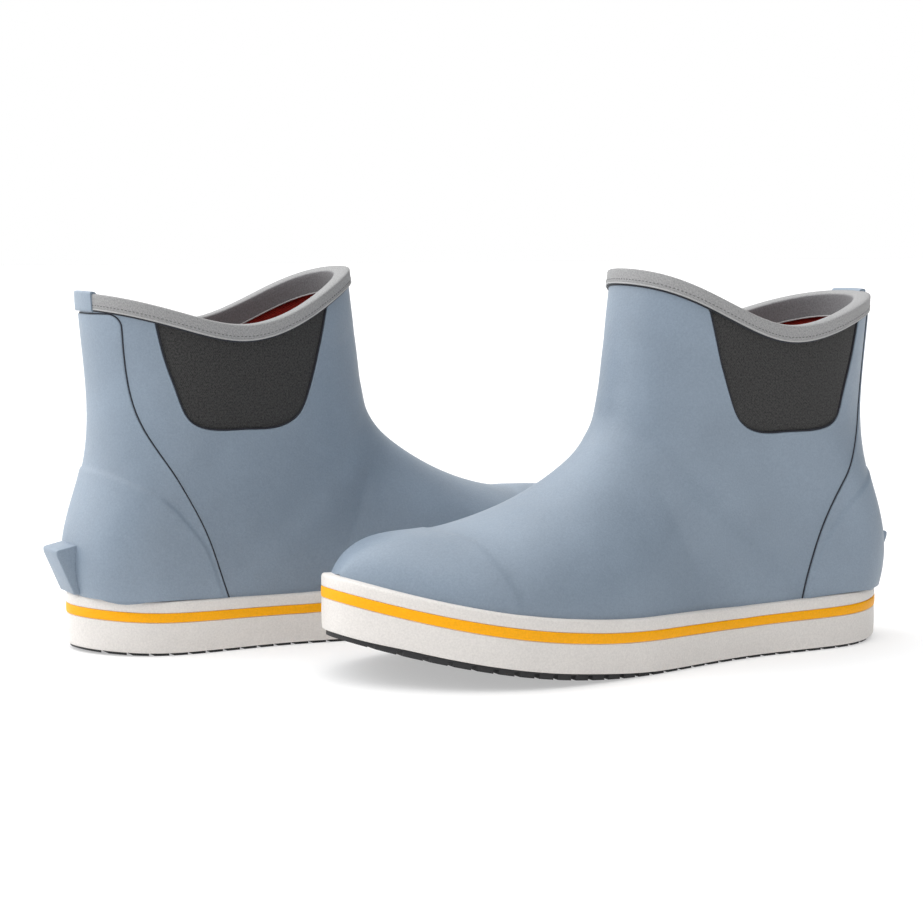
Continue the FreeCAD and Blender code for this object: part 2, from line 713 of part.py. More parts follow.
def make_boot():
    """Every piece of one boot, by name, in the boot's own frame."""
    outline = outline_curve()
    span = outline.LastParameter - outline.FirstParameter
    samples = [outline.value(outline.FirstParameter + span * number / OUTLINE_SAMPLES)
               for number in range(OUTLINE_SAMPLES)]
    uppers = Uppers(station_table(samples))
    window = gore_region("gore_window", 0.0)
    panel = gore_region("gore_panel", size("gore_gap"))
    toe_zone = box("toe_zone", f"{sheet.Name}.sole_length", f"2 * {sheet.Name}.half_span", f"{OVER_COLLAR}",
                   V(size("toe_puff_start"), -size("half_span"), 0.0))
    heel_zone = box("heel_zone", f"{sheet.Name}.heel_counter_end + {-BEHIND_HEEL}",
                    f"2 * {sheet.Name}.half_span", f"{sheet.Name}.heel_counter_top",
                    V(BEHIND_HEEL, -size("half_span"), 0.0))
    room = make_room(outline)
    return {
        "outsole": make_outsole(outline),
        "foxing": make_foxing(outline, uppers),
        "foxing_stripe": make_stripe(outline),
        "midsole": cut("midsole", make_midsole(outline), make_shank_recess()),
        "shank": make_shank(),
        "insole_board": make_flat_layer("insole_board", outline, "board_bottom", "board_top"),
        "footbed": make_flat_layer("footbed", outline, "footbed_bottom", "footbed_top"),
        "lining": make_lining(uppers),
        "shell": make_shell(uppers, window, room),
        "toe_puff": make_stiffener("toe_puff", uppers, toe_zone, room),
        "heel_counter": make_stiffener("heel_counter", uppers, heel_zone, room),
        "heel_overlay": make_overlay(uppers),
        "outer_gore": make_gore("outer_gore", uppers, panel, 1),
        "inner_gore": make_gore("inner_gore", uppers, panel, -1),
        "collar_binding": make_binding(uppers),
        "back_tab": make_back_tab(uppers),
        "kick_tab": make_kick_tab(uppers),
    }


def make_pair(pieces):
    """The left boot turned to its place, and the right boot as its mirror image."""
    turned = FreeCAD.Placement(V(size("row_shift_x"), size("row_middle_y") - size("row_shift_y"), 0.0),
                               FreeCAD.Rotation(V(0, 0, 1), 180))
    nodes = []
    for name, piece in pieces.items():
        left = doc.addObject("Part::Compound", "left_" + name)
        left.Links = [piece]
        left.Placement = turned
        right = doc.addObject("Part::Mirroring", "right_" + name)
        right.Source = left
        right.Normal = V(1, 0, 0)
        right.setExpression("Placement.Base.y", f"2 * {sheet.Name}.row_shift_y")
        for node in (left, right):
            node.Label = node.Name
            nodes.append(node)
    return nodes


def write_steps(nodes):
    for item in doc.Objects:
        if "Invalid" in item.State or "Error" in item.State:
            raise RuntimeError(f"{item.Name} failed: {item.State}")
    for node in nodes:
        if node.Shape.isNull() or not node.Shape.isValid() or not node.Shape.Solids:
            raise RuntimeError(f"{node.Label} has no valid solid")
    os.makedirs("parts", exist_ok=True)
    for node in nodes:
        node.Shape.exportStep(f"parts/{node.Label}.step")
        print(node.Label, len(node.Shape.Solids), round(node.Shape.Volume / 1000, 2), "cm3")


fill_sheet()
pair = make_pair(make_boot())
doc.recompute()
write_steps(pair)
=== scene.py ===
import math

import bpy
import numpy as np
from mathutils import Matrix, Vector
from mathutils.bvhtree import BVHTree

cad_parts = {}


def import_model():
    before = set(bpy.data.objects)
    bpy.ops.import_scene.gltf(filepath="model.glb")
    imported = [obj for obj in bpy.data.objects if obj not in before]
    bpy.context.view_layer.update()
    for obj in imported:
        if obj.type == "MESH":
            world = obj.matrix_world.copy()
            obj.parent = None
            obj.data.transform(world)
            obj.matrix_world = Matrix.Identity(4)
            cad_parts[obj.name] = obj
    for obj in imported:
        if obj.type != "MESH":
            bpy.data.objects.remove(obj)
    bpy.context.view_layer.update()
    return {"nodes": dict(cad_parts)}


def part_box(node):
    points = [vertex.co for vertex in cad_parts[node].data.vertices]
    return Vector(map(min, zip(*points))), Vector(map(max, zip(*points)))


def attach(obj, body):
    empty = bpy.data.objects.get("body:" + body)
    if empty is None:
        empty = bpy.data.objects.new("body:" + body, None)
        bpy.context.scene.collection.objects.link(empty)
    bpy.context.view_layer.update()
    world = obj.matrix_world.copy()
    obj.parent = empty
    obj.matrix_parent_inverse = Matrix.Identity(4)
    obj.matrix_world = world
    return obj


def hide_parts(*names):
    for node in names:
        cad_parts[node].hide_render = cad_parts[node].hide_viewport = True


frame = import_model()

# A pair of rubber deck boots, toes pointing opposite ways. Every piece is drawn once, in
# millimetres in one boot's own frame (x from heel to toe, y to the outer side of the foot,
# z up), and then placed twice: turned for the left boot and mirrored for the right one.

MM = 0.001

# ---------------------------------------------------------------- shape of one boot

# top x, top z, base x, base z, half width, narrowing, top rounding, base rounding
STATIONS = np.array([
    (297.0, 46.5, 297.0, 33.0, 0.0, 1.00, 6.0, 6.0),
    (293.5, 53.5, 294.0, 0.0, 0.0, 0.97, 16.0, 10.0),
    (284.0, 61.0, 285.0, 0.0, 0.0, 0.97, 26.0, 10.0),
    (268.0, 65.5, 268.0, 0.0, 0.0, 0.97, 34.0, 10.0),
    (246.0, 66.5, 243.0, 0.0, 0.0, 0.97, 40.0, 10.0),
    (220.0, 71.5, 210.0, 0.0, 0.0, 0.96, 46.0, 10.0),
    (196.0, 81.0, 172.0, 0.0, 0.0, 0.94, 53.0, 10.0),
    (175.5, 93.5, 125.0, 0.0, 0.0, 0.92, 55.0, 12.0),
    (162.5, 105.5, 66.0, 0.0, 0.0, 0.96, 57.0, 16.0),
    (156.5, 117.0, 15.0, 9.5, 38.6, 0.98, 56.0, 28.0),
    (155.2, 123.0, 3.4, 27.0, 38.4, 0.99, 56.0, 34.0),
    (154.0, 129.0, 1.2, 48.0, 38.5, 1.00, 56.0, 38.0),
    (152.5, 141.0, 10.5, 85.0, 40.0, 1.00, 60.0, 50.0),
    (150.5, 155.0, 13.5, 122.0, 42.0, 1.00, 64.0, 60.0),
    (148.0, 172.0, 10.5, 160.0, 43.5, 1.00, 67.0, 65.0),
    (145.5, 190.0, 9.5, 182.0, 44.0, 1.00, 67.0, 67.0),
])
VAMP = 6
HEEL_TURN = 9
ANKLE = 11
INNER_SLIMMING = 1.3
COLLAR = [(-25.0, 176.5), (10.0, 173.0), (43.0, 164.5), (78.0, 158.0), (112.0, 169.0),
          (146.0, 185.0), (175.0, 189.0)]
GORE = [(31.0, 164.0), (36.5, 140.0), (42.0, 124.0), (48.5, 111.0), (60.0, 106.8), (78.0, 106.4),
        (95.0, 107.0), (105.5, 112.5), (111.5, 124.0), (116.5, 140.0), (122.5, 165.0)]
OVERLAY = [(19.5, 160.0), (21.5, 137.0), (27.5, 110.0), (35.0, 95.0), (47.0, 75.0), (56.0, 58.0),
           (62.0, 42.0), (69.0, 20.0)]
TOE_CAP = [(233.0, 41.0), (239.0, 58.0), (242.0, 64.0), (247.0, 66.0), (252.0, 68.0)]
HEEL_ARC = [(66.0, 18.0), (63.0, 30.0), (60.0, 39.0), (55.0, 51.0), (46.0, 63.0), (34.0, 75.0),
            (24.0, 81.0), (13.0, 87.0), (-2.0, 91.0)]
OUTER_CREASE = [(131.0, 46.0), (138.0, 62.0), (145.0, 79.0)]

SOLE = 300.0
BALL = 56.35
HEEL = 40.5
OVERHANG = 2.5
SHELL_WALL = 2.6
SHELL_FOOT = 10.3
LINING_FOOT = 18.2
GORE_DEPTH = 2.4
LINING_OUT = 3.6
LINING_IN = 5.4
FOXING_WALL = 4.5
SPINE_SHARE = 0.03
FOOTBED_INSET = 13.3
FOOTBED_TOP = 15.6
FOOTBED_FOOT = 12.75
STRIPE_SHARES = (0.565, 0.765)
BINDING_GAP = 0.15
BINDING_THICK = 1.3
BINDING_TALL = 7.5
FACING_TALL = 11.5

DENSE_ROWS = 720
HALF_COLUMNS = 130
FIRST_ROW = 6


def cubic(knots, values, at):
    """Natural cubic spline through values at knots."""
    knots = np.asarray(knots, float)
    flat = np.asarray(values, float).reshape(len(knots), -1)
    count = len(knots)
    gap = np.diff(knots)
    system = np.eye(count)
    right = np.zeros_like(flat)
    for i in range(1, count - 1):
        system[i, i - 1:i + 2] = gap[i - 1], 2 * (gap[i - 1] + gap[i]), gap[i]
        right[i] = 6 * ((flat[i + 1] - flat[i]) / gap[i] - (flat[i] - flat[i - 1]) / gap[i - 1])
    bend = np.linalg.solve(system, right)
    at = np.asarray(at, float)
    k = np.clip(np.searchsorted(knots, at, side="right") - 1, 0, count - 2)
    g = gap[k][:, None]
    s = (at - knots[k])[:, None]
    r = g - s
    out = (bend[k] * r ** 3 + bend[k + 1] * s ** 3) / (6 * g)
    out += (flat[k] / g - bend[k] * g / 6) * r + (flat[k + 1] / g - bend[k + 1] * g / 6) * s
    return out if np.ndim(values) > 1 else out[:, 0]


def curve_through(points, count):
    """A smooth open curve through points of the side view, as many samples as asked."""
    points = np.array(points, float)
    knots = np.concatenate([[0], np.cumsum(np.linalg.norm(np.diff(points, axis=0), axis=1))])
    return cubic(knots, points, np.linspace(0, knots[-1], count))


def smooth_step(value):
    value = np.clip(value, 0, 1)
    return value * value * (3 - 2 * value)


def smoothed(values, reach=36):
    """Values along the rows, averaged with a soft window."""
    window = np.hanning(2 * reach + 1)
    padded = np.pad(values, reach, mode="reflect", reflect_type="odd")
    return np.convolve(padded, window / window.sum(), mode="valid")


def sole_height(x):
    rise = np.clip((x - 156.5) / 143.5, 0, 1)
    bevel = np.clip((44.0 - x) / 44.0, 0, 1)
    return 3.0 + 21.4 * rise ** 2 + 1.3 * bevel ** 2


def foxing_height(x):
    return np.interp(x, [0, 105, 204, 300], [23.9, 22.1, 24.5, 24.6])


def outline(count):
    """Samples of the sole's outline seen from above, evenly spaced, closed."""
    outer = [(0.0, 0.0), (0.035, 0.6 * HEEL), (0.12, HEEL), (0.3, HEEL + 1.5),
             (0.48, 0.45 * HEEL + 0.55 * BALL + 1.0), (0.66, BALL + 2.0), (0.8, 0.95 * BALL),
             (0.915, 0.62 * BALL), (0.985, 0.2 * BALL)]
    inner = [(1.0, -0.12 * BALL), (0.975, -0.45 * BALL), (0.91, -0.8 * BALL), (0.8, -BALL),
             (0.68, -0.96 * BALL), (0.5, -0.55 * HEEL - 0.35 * BALL), (0.3, -0.94 * HEEL),
             (0.12, -0.98 * HEEL), (0.035, -0.58 * HEEL)]
    points = np.array([(share * SOLE, y) for share, y in outer + inner])
    rounds = np.concatenate([points, points, points, points[:1]])
    chords = np.sqrt(np.linalg.norm(np.diff(rounds, axis=0), axis=1))
    knots = np.concatenate([[0], np.cumsum(chords)])
    start, stop = knots[len(points)], knots[2 * len(points)]
    fine = cubic(knots, rounds, np.linspace(start, stop, 4001))
    along = np.concatenate([[0], np.cumsum(np.linalg.norm(np.diff(fine, axis=0), axis=1))])
    at = np.linspace(0, along[-1], count + 1)[:-1]
    return np.stack([np.interp(at, along, fine[:, k]) for k in (0, 1)], axis=1)


PLAN = outline(2400)


def half_width(side, x):
    """Distance from the centre line to the outline at each x."""
    x = np.atleast_1d(x)
    first, second = PLAN, np.roll(PLAN, -1, axis=0)
    spans = (first[:, 0][None] - x[:, None]) * (second[:, 0][None] - x[:, None]) <= 0
    width = second[:, 0] - first[:, 0]
    width = np.where(np.abs(width) < 1e-9, 1e-9, width)
    y = first[:, 1] + (second[:, 1] - first[:, 1]) * (x[:, None] - first[:, 0]) / width
    return np.where(spans, side * y, 0.0).max(axis=1)


class Upper:
    """The upper's outer surface as sections, evaluated at any inset."""

    def __init__(self):
        rows = STATIONS.copy()
        follows = rows[:, 3] == 0
        rows[follows, 3] = sole_height(rows[follows, 2]) + 4.0
        steps = np.linalg.norm(np.diff(rows[:, 0:2], axis=0), axis=1)
        steps += np.linalg.norm(np.diff(rows[:, 2:4], axis=0), axis=1)
        knots = np.concatenate([[0], np.cumsum(steps / 2)])
        self.at = np.linspace(0, knots[-1], DENSE_ROWS)
        self.top = cubic(knots, rows[:, 0:2], self.at)
        self.base = cubic(knots, rows[:, 2:4], self.at)
        self.narrow, self.top_round, self.base_round = cubic(knots, rows[:, 5:8], self.at).T
        late = cubic(knots[HEEL_TURN:], rows[HEEL_TURN:, 4], np.maximum(self.at, knots[HEEL_TURN]))
        before, after = knots[HEEL_TURN - 1], knots[HEEL_TURN]
        blend = smooth_step((self.at - before) / (after - before))
        self.widths = {}
        for side in (1, -1):
            follow = half_width(side, self.base[:, 0] * SOLE / (SOLE - OVERHANG)) - OVERHANG
            given = late - INNER_SLIMMING * (side < 0)
            width = (1 - blend) * np.maximum(follow, 0.5) + blend * given
            calm = smooth_step((self.at - knots[VAMP - 1]) / (knots[VAMP] - knots[VAMP - 1]))
            self.widths[side] = (1 - calm) * width + calm * smoothed(width)
        self.split = np.searchsorted(self.at, knots[ANKLE])
        self.kept = {}

    def grid(self, inset):
        """Points (rows, columns round the section) of the surface at an inset."""
        if inset not in self.kept:
            self.kept[inset] = self.make_grid(inset)
        return self.kept[inset]

    def make_grid(self, inset):
        def outward(line, turn):
            along = np.gradient(line, axis=0)
            out = np.stack([turn * along[:, 1], -turn * along[:, 0]], axis=1)
            return out / np.linalg.norm(out, axis=1)[:, None]

        top = self.top - outward(self.top, 1) * inset
        base = self.base - outward(self.base, -1) * inset
        reach = np.linalg.norm(top - base, axis=1)
        high = np.maximum(self.top_round - inset, 0.5)
        low = np.maximum(self.base_round - inset, 0.5)
        shrink = np.minimum(1.0, 0.85 * reach / (high + low))
        high, low = high * shrink, low * shrink

        def quarter(count, power):
            angle = np.linspace(0, math.pi / 2, count)
            c, s = np.cos(angle), np.sin(angle)
            r = (c ** power + s ** power) ** (-1.0 / power)
            return 1 - c * r, s * r

        depth_top, share_top = quarter(28, 2.1)
        depth_low, share_low = quarter(22, 2.15)
        side_part = np.linspace(0, 1, 26)[1:-1]
        depth = np.concatenate([
            high[:, None] * depth_top,
            high[:, None] + (reach - high - low)[:, None] * side_part,
            reach[:, None] - low[:, None] * depth_low[::-1]], axis=1)
        share = np.concatenate([share_top, np.ones(len(side_part)), share_low[::-1]])
        f = depth / reach[:, None]
        place = top[:, None] + (base - top)[:, None] * f[..., None]
        slim = self.narrow[:, None] + (1 - self.narrow[:, None]) * np.minimum(f / 0.75, 1)
        halves = []
        for side in (1, -1):
            y = side * share * np.maximum(self.widths[side] - inset, 0.4)[:, None] * slim
            line = np.stack([place[..., 0], y, place[..., 1]], axis=2)
            run = np.linalg.norm(np.diff(line, axis=1), axis=2)
            run = np.concatenate([np.zeros((len(run), 1)), np.cumsum(run, axis=1)], axis=1)
            half = np.empty((DENSE_ROWS, HALF_COLUMNS + 1, 3))
            for r in range(DENSE_ROWS):
                at = np.linspace(0, run[r, -1], HALF_COLUMNS + 1)
                for k in range(3):
                    half[r, :, k] = np.interp(at, run[r], line[r, :, k])
            halves.append(half)
        return np.concatenate([halves[0], halves[1][:, -2:0:-1]], axis=1)


UPPER = Upper()
COLLAR_LINE = curve_through(COLLAR, 400)


def collar(x):
    return np.interp(x, COLLAR_LINE[:, 0], COLLAR_LINE[:, 1])


def grid_normals(grid):
    """Outward unit normals of a grid that is closed along its columns."""
    along = np.gradient(grid, axis=0)
    across = np.roll(grid, -1, axis=1) - np.roll(grid, 1, axis=1)
    normal = np.cross(across, along)
    return normal / np.maximum(np.linalg.norm(normal, axis=2), 1e-9)[..., None]


def collar_rows(grid, drop):
    """For each column, the row (with its fraction) where it meets the lowered collar."""
    gap = grid[..., 2] - (collar(grid[..., 0]) - drop)
    below = gap < 0
    last = DENSE_ROWS - 1 - np.argmax(below[::-1], axis=0)
    last = np.minimum(last, DENSE_ROWS - 2)
    columns = np.arange(grid.shape[1])
    g0, g1 = gap[last, columns], gap[last + 1, columns]
    return last + np.clip(g0 / np.where(np.abs(g0 - g1) < 1e-9, 1e-9, g0 - g1), 0, 1)


def take(grid, rows):
    """The grid at fractional rows, one set of rows for each column."""
    low = np.clip(np.floor(rows).astype(int), 0, grid.shape[0] - 2)
    share = (rows - low)[..., None]
    columns = np.arange(grid.shape[1])[None]
    return grid[low, columns] * (1 - share) + grid[low + 1, columns] * share


def up_to_collar(grid, drop, lower, upper):
    """The grid with its last row on the lowered collar's edge."""
    ends = collar_rows(grid, drop)
    fixed = np.linspace(FIRST_ROW, UPPER.split, lower, endpoint=False)[:, None] + np.zeros(grid.shape[1])
    share = np.linspace(0, 1, upper)[:, None]
    return take(grid, np.concatenate([fixed, UPPER.split + share * (ends - UPPER.split)]))


SKIN = UPPER.grid(0.0)
SKIN_NORMALS = grid_normals(SKIN)
if (SKIN_NORMALS[300, 20] * (SKIN[300, 20] - SKIN[300].mean(axis=0))).sum() < 0:
    SKIN_NORMALS = -SKIN_NORMALS
    FLIPPED = True
else:
    FLIPPED = False


def quads(rows, columns, wrap, flip=False):
    """Faces of a grid of points, numbered row by row."""
    faces = []
    last = columns if wrap else columns - 1
    for r in range(rows - 1):
        for c in range(last):
            d = (c + 1) % columns
            face = (r * columns + c, r * columns + d, (r + 1) * columns + d, (r + 1) * columns + c)
            faces.append(face[::-1] if flip else face)
    return faces


SKIN_TREE = BVHTree.FromPolygons(
    [tuple(p) for p in SKIN[::2].reshape(-1, 3)],
    quads(len(SKIN[::2]), SKIN.shape[1], True))


def cast(origins, directions):
    """Where rays from inside or outside meet the outer skin, and the normal that faces out."""
    spots, normals = [], []
    for origin, direction in zip(origins, directions):
        direction = Vector(direction).normalized()
        hit, normal, _, _ = SKIN_TREE.ray_cast(Vector(origin), direction)
        if hit is None:
            hit, normal, _, _ = SKIN_TREE.find_nearest(Vector(origin))
        spots.append(tuple(hit))
        normals.append(tuple(normal))
    return np.array(spots), np.array(normals)


def on_side(points, side):
    """Side-view points (x, z) put on the skin's outer (+1) or inner (-1) side."""
    points = np.asarray(points, float)
    start = np.stack([points[:, 0], np.full(len(points), side * 90.0), points[:, 1]], axis=1)
    spots, normals = cast(start, np.tile([0.0, -side, 0.0], (len(points), 1)))
    normals[(normals * [0, side, 0]).sum(axis=1) < 0] *= -1
    return spots, normals


# ---------------------------------------------------------------- making pieces

_, fox_high = (np.array(v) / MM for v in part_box("left_foxing"))
fox_low_r, fox_high_r = (np.array(v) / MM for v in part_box("right_foxing"))
LEFT_AT = (fox_high[0] + PLAN[:, 0].min(), fox_high[1] + PLAN[:, 1].min())
RIGHT_AT = (-fox_low_r[0] + PLAN[:, 0].min(), fox_high_r[1] + PLAN[:, 1].min())


def placed(points, side):
    """Points of the boot's own frame in the row frame, in metres."""
    x, y, z = np.asarray(points, float).T
    if side == "left":
        return np.stack([LEFT_AT[0] - x, LEFT_AT[1] - y, z], axis=1) * MM
    return np.stack([x - RIGHT_AT[0], RIGHT_AT[1] - y, z], axis=1) * MM


class Shape:
    """Points and faces of a piece, with values kept at its points."""

    def __init__(self, points, faces, **values):
        self.points = np.asarray(points, float)
        self.faces = faces
        self.values = values


def mesh_of(name, points, faces, flip):
    mesh = bpy.data.meshes.new(name)
    faces = [tuple(face[::-1]) for face in faces] if flip else [tuple(face) for face in faces]
    mesh.from_pydata([tuple(p) for p in points], [], faces)
    mesh.validate()
    return mesh


def piece(name, shape, finish, stands_for=(), body="boot", sharp=40.0):
    """Adds the left and the right copy of a piece, riding on its body."""
    made = []
    for side in ("left", "right"):
        label = f"{side}_{name}"
        mesh = mesh_of(label, placed(shape.points, side), shape.faces, side == "right")
        for key, value in shape.values.items():
            flat = np.asarray(value, np.float32)
            kind = "FLOAT" if flat.ndim == 1 else "FLOAT_VECTOR"
            data = mesh.attributes.new(key, kind, "POINT")
            data.data.foreach_set("value" if flat.ndim == 1 else "vector", flat.ravel())
        mesh.materials.append(finish)
        mesh.shade_smooth()
        mesh.set_sharp_from_angle(angle=math.radians(sharp))
        item = bpy.data.objects.new(label, mesh)
        bpy.context.scene.collection.objects.link(item)
        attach(item, f"{side}_{body}")
        if stands_for:
            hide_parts(*[f"{side}_{node}" for node in stands_for])
        made.append(item)
    return made


def evaluated(points, faces, *modifiers):
    """A mesh after its modifiers, as arrays. Each modifier is (kind, values)."""
    item = bpy.data.objects.new("work", mesh_of("work", points, faces, False))
    bpy.context.scene.collection.objects.link(item)
    for kind, values in modifiers:
        modifier = item.modifiers.new(kind, kind)
        for key, value in values.items():
            setattr(modifier, key, value)
    bpy.context.view_layer.update()
    result = item.evaluated_get(bpy.context.evaluated_depsgraph_get()).to_mesh()
    out = np.empty(len(result.vertices) * 3)
    result.vertices.foreach_get("co", out)
    shape = Shape(out.reshape(-1, 3), [tuple(p.vertices) for p in result.polygons])
    bpy.data.objects.remove(item)
    return shape


def tube(path, radius, sides=10, closed=False, squash=1.0, facing=None):
    """A round bar along a path; squash flattens it along the facing directions."""
    path = np.asarray(path, float)
    count = len(path)
    if closed:
        along = np.roll(path, -1, axis=0) - np.roll(path, 1, axis=0)
    else:
        along = np.gradient(path, axis=0)
    along /= np.linalg.norm(along, axis=1)[:, None]
    if facing is None:
        facing = np.tile([0.0, 0.0, 1.0], (count, 1))
    up = facing - (facing * along).sum(axis=1)[:, None] * along
    up /= np.linalg.norm(up, axis=1)[:, None]
    other = np.cross(along, up)
    radius = np.broadcast_to(radius, count)
    angle = np.linspace(0, 2 * math.pi, sides, endpoint=False)
    ring = (np.cos(angle)[None, :, None] * other[:, None]
            + squash * np.sin(angle)[None, :, None] * up[:, None])
    points = path[:, None] + radius[:, None, None] * ring
    rows = count + 1 if closed else count
    faces = []
    for r in range(rows - 1):
        for s in range(sides):
            t = (s + 1) % sides
            a, b = r % count, (r + 1) % count
            faces.append((a * sides + s, a * sides + t, b * sides + t, b * sides + s))
    if not closed:
        faces.append(tuple(range(sides))[::-1])
        faces.append(tuple((count - 1) * sides + s for s in range(sides)))
    return Shape(points.reshape(-1, 3), [face[::-1] for face in faces])


def even(path, step, closed=False):
    """A path's points respaced evenly, about a step apart."""
    path = np.asarray(path, float)
    if closed:
        path = np.concatenate([path, path[:1]])
    run = np.concatenate([[0], np.cumsum(np.linalg.norm(np.diff(path, axis=0), axis=1))])
    count = max(int(round(run[-1] / step)), 3)
    at = np.linspace(0, run[-1], count + 1)
    out = np.stack([np.interp(at, run, path[:, k]) for k in range(path.shape[1])], axis=1)
    return out[:-1] if closed else out


def stitches(path, facing, pitch, length, radius, closed=False):
    """Short raised stitches along a path, joined in one shape."""
    joined = np.concatenate([path, facing], axis=1)
    spots = even(joined, pitch, closed)
    centres, up = spots[:, :3], spots[:, 3:]
    along = np.gradient(centres, axis=0)
    along /= np.linalg.norm(along, axis=1)[:, None]
    up -= (up * along).sum(axis=1)[:, None] * along
    up /= np.linalg.norm(up, axis=1)[:, None]
    across = np.cross(along, up)
    lines, sides = 6, 6
    points, faces = [], []
    for centre, a, u, w in zip(centres, along, up, across):
        start = len(points)
        for n in range(lines):
            share = n / (lines - 1)
            reach = (share - 0.5) * length
            thick = radius * math.sqrt(max(1 - (2 * share - 1) ** 4, 0.06))
            for s in range(sides):
                angle = 2 * math.pi * s / sides
                spoke = math.cos(angle) * w + math.sin(angle) * u
                points.append(centre + a * reach + thick * spoke)
        for n in range(lines - 1):
            for s in range(sides):
                t = (s + 1) % sides
                faces.append((start + n * sides + s, start + (n + 1) * sides + s,
                              start + (n + 1) * sides + t, start + n * sides + t))
        faces.append(tuple(start + s for s in range(sides)))
        faces.append(tuple(start + (lines - 1) * sides + s for s in range(sides))[::-1])
    return Shape(points, faces)


# ---------------------------------------------------------------- finishes

def shader(name, colour, roughness, **sockets):
    """A material with plain values on its shader's own sockets."""
    made = bpy.data.materials.new(name)
    made.use_nodes = True
    principled = made.node_tree.nodes["Principled BSDF"]
    principled.inputs["Base Color"].default_value = (*colour, 1.0)
    principled.inputs["Roughness"].default_value = roughness
    for key, value in sockets.items():
        principled.inputs[key.replace("_", " ")].default_value = value
    return made, made.node_tree, principled


def add(tree, kind, **values):
    made = tree.nodes.new(kind)
    for key, value in values.items():
        if key in made.inputs:
            made.inputs[key].default_value = value
        else:
            setattr(made, key, value)
    return made


def millimetres(tree, scale=(1.0, 1.0, 1.0)):
    """The piece's own coordinates in millimetres."""
    place = add(tree, "ShaderNodeTexCoord")
    mapping = add(tree, "ShaderNodeMapping")
    mapping.inputs["Scale"].default_value = [1000.0 * s for s in scale]
    tree.links.new(place.outputs["Object"], mapping.inputs["Vector"])
    return mapping.outputs["Vector"]


def attribute(tree, name):
    return add(tree, "ShaderNodeAttribute", attribute_name=name).outputs["Vector"]


def noise(tree, where, scale, detail=2.0, rough=0.5):
    made = add(tree, "ShaderNodeTexNoise", Scale=scale, Detail=detail, Roughness=rough)
    tree.links.new(where, made.inputs["Vector"])
    return made.outputs["Fac"]


def math_node(tree, operation, first, second=None, clamp=False):
    made = add(tree, "ShaderNodeMath", operation=operation, use_clamp=clamp)
    for slot, value in enumerate((first, second)):
        if value is None:
            continue
        if isinstance(value, (int, float)):
            made.inputs[slot].default_value = value
        else:
            tree.links.new(value, made.inputs[slot])
    return made.outputs[0]


def ramp(tree, value, *stops):
    """A colour ramp; each stop is (place, colour)."""
    made = add(tree, "ShaderNodeValToRGB")
    elements = made.color_ramp.elements
    while len(elements) < len(stops):
        elements.new(0.5)
    for element, (place, colour) in zip(elements, stops):
        element.position = place
        element.color = (*colour, 1.0)
    tree.links.new(value, made.inputs["Fac"])
    return made.outputs["Color"]


def mix(tree, share, first, second, kind="MIX"):
    made = add(tree, "ShaderNodeMix", data_type="RGBA", blend_type=kind)
    for slot, value in ((0, share), (6, first), (7, second)):
        if isinstance(value, (int, float)):
            made.inputs[slot].default_value = value
        elif isinstance(value, tuple):
            made.inputs[slot].default_value = (*value, 1.0)
        else:
            tree.links.new(value, made.inputs[slot])
    return made.outputs[2]


def bumps(tree, principled, *layers):
    """Bump layers in a chain; each is (height, distance in mm, strength)."""
    before = None
    for height, distance, strength in layers:
        made = add(tree, "ShaderNodeBump", Distance=distance * MM, Strength=strength)
        tree.links.new(height, made.inputs["Height"])
        if before is not None:
            tree.links.new(before, made.inputs["Normal"])
        before = made.outputs["Normal"]
    tree.links.new(before, principled.inputs["Normal"])


def scaled(colour, share):
    return tuple(c * share for c in colour)


def rubber(name, colour, roughness, grain=1.0, mottle=0.06, specular=0.5):
    """Satin rubber: slight mottling, a fine pebbled grain and uneven gloss."""
    made, tree, principled = shader(name, colour, roughness, Specular_IOR_Level=specular)
    where = millimetres(tree)
    cloud = noise(tree, where, 0.03, 3.0, 0.55)
    speck = noise(tree, where, 1.1, 2.0, 0.6)
    tone = ramp(tree, cloud, (0.3, scaled(colour, 1 - mottle)), (0.7, scaled(colour, 1 + mottle)))
    speckle = ramp(tree, speck, (0.3, (0.93, 0.93, 0.93)), (0.7, (1.06, 1.06, 1.06)))
    tree.links.new(mix(tree, 1.0, tone, speckle, "MULTIPLY"), principled.inputs["Base Color"])
    gloss = ramp(tree, noise(tree, where, 0.12, 3.0, 0.6),
                 (0.3, (roughness - 0.05,) * 3), (0.7, (roughness + 0.06,) * 3))
    tree.links.new(gloss, principled.inputs["Roughness"])
    fine = noise(tree, where, 0.95, 3.0, 0.65)
    soft = noise(tree, where, 0.16, 2.0, 0.5)
    bumps(tree, principled, (soft, 0.5 * grain, 0.3), (fine, 0.22 * grain, 0.6))
    return made


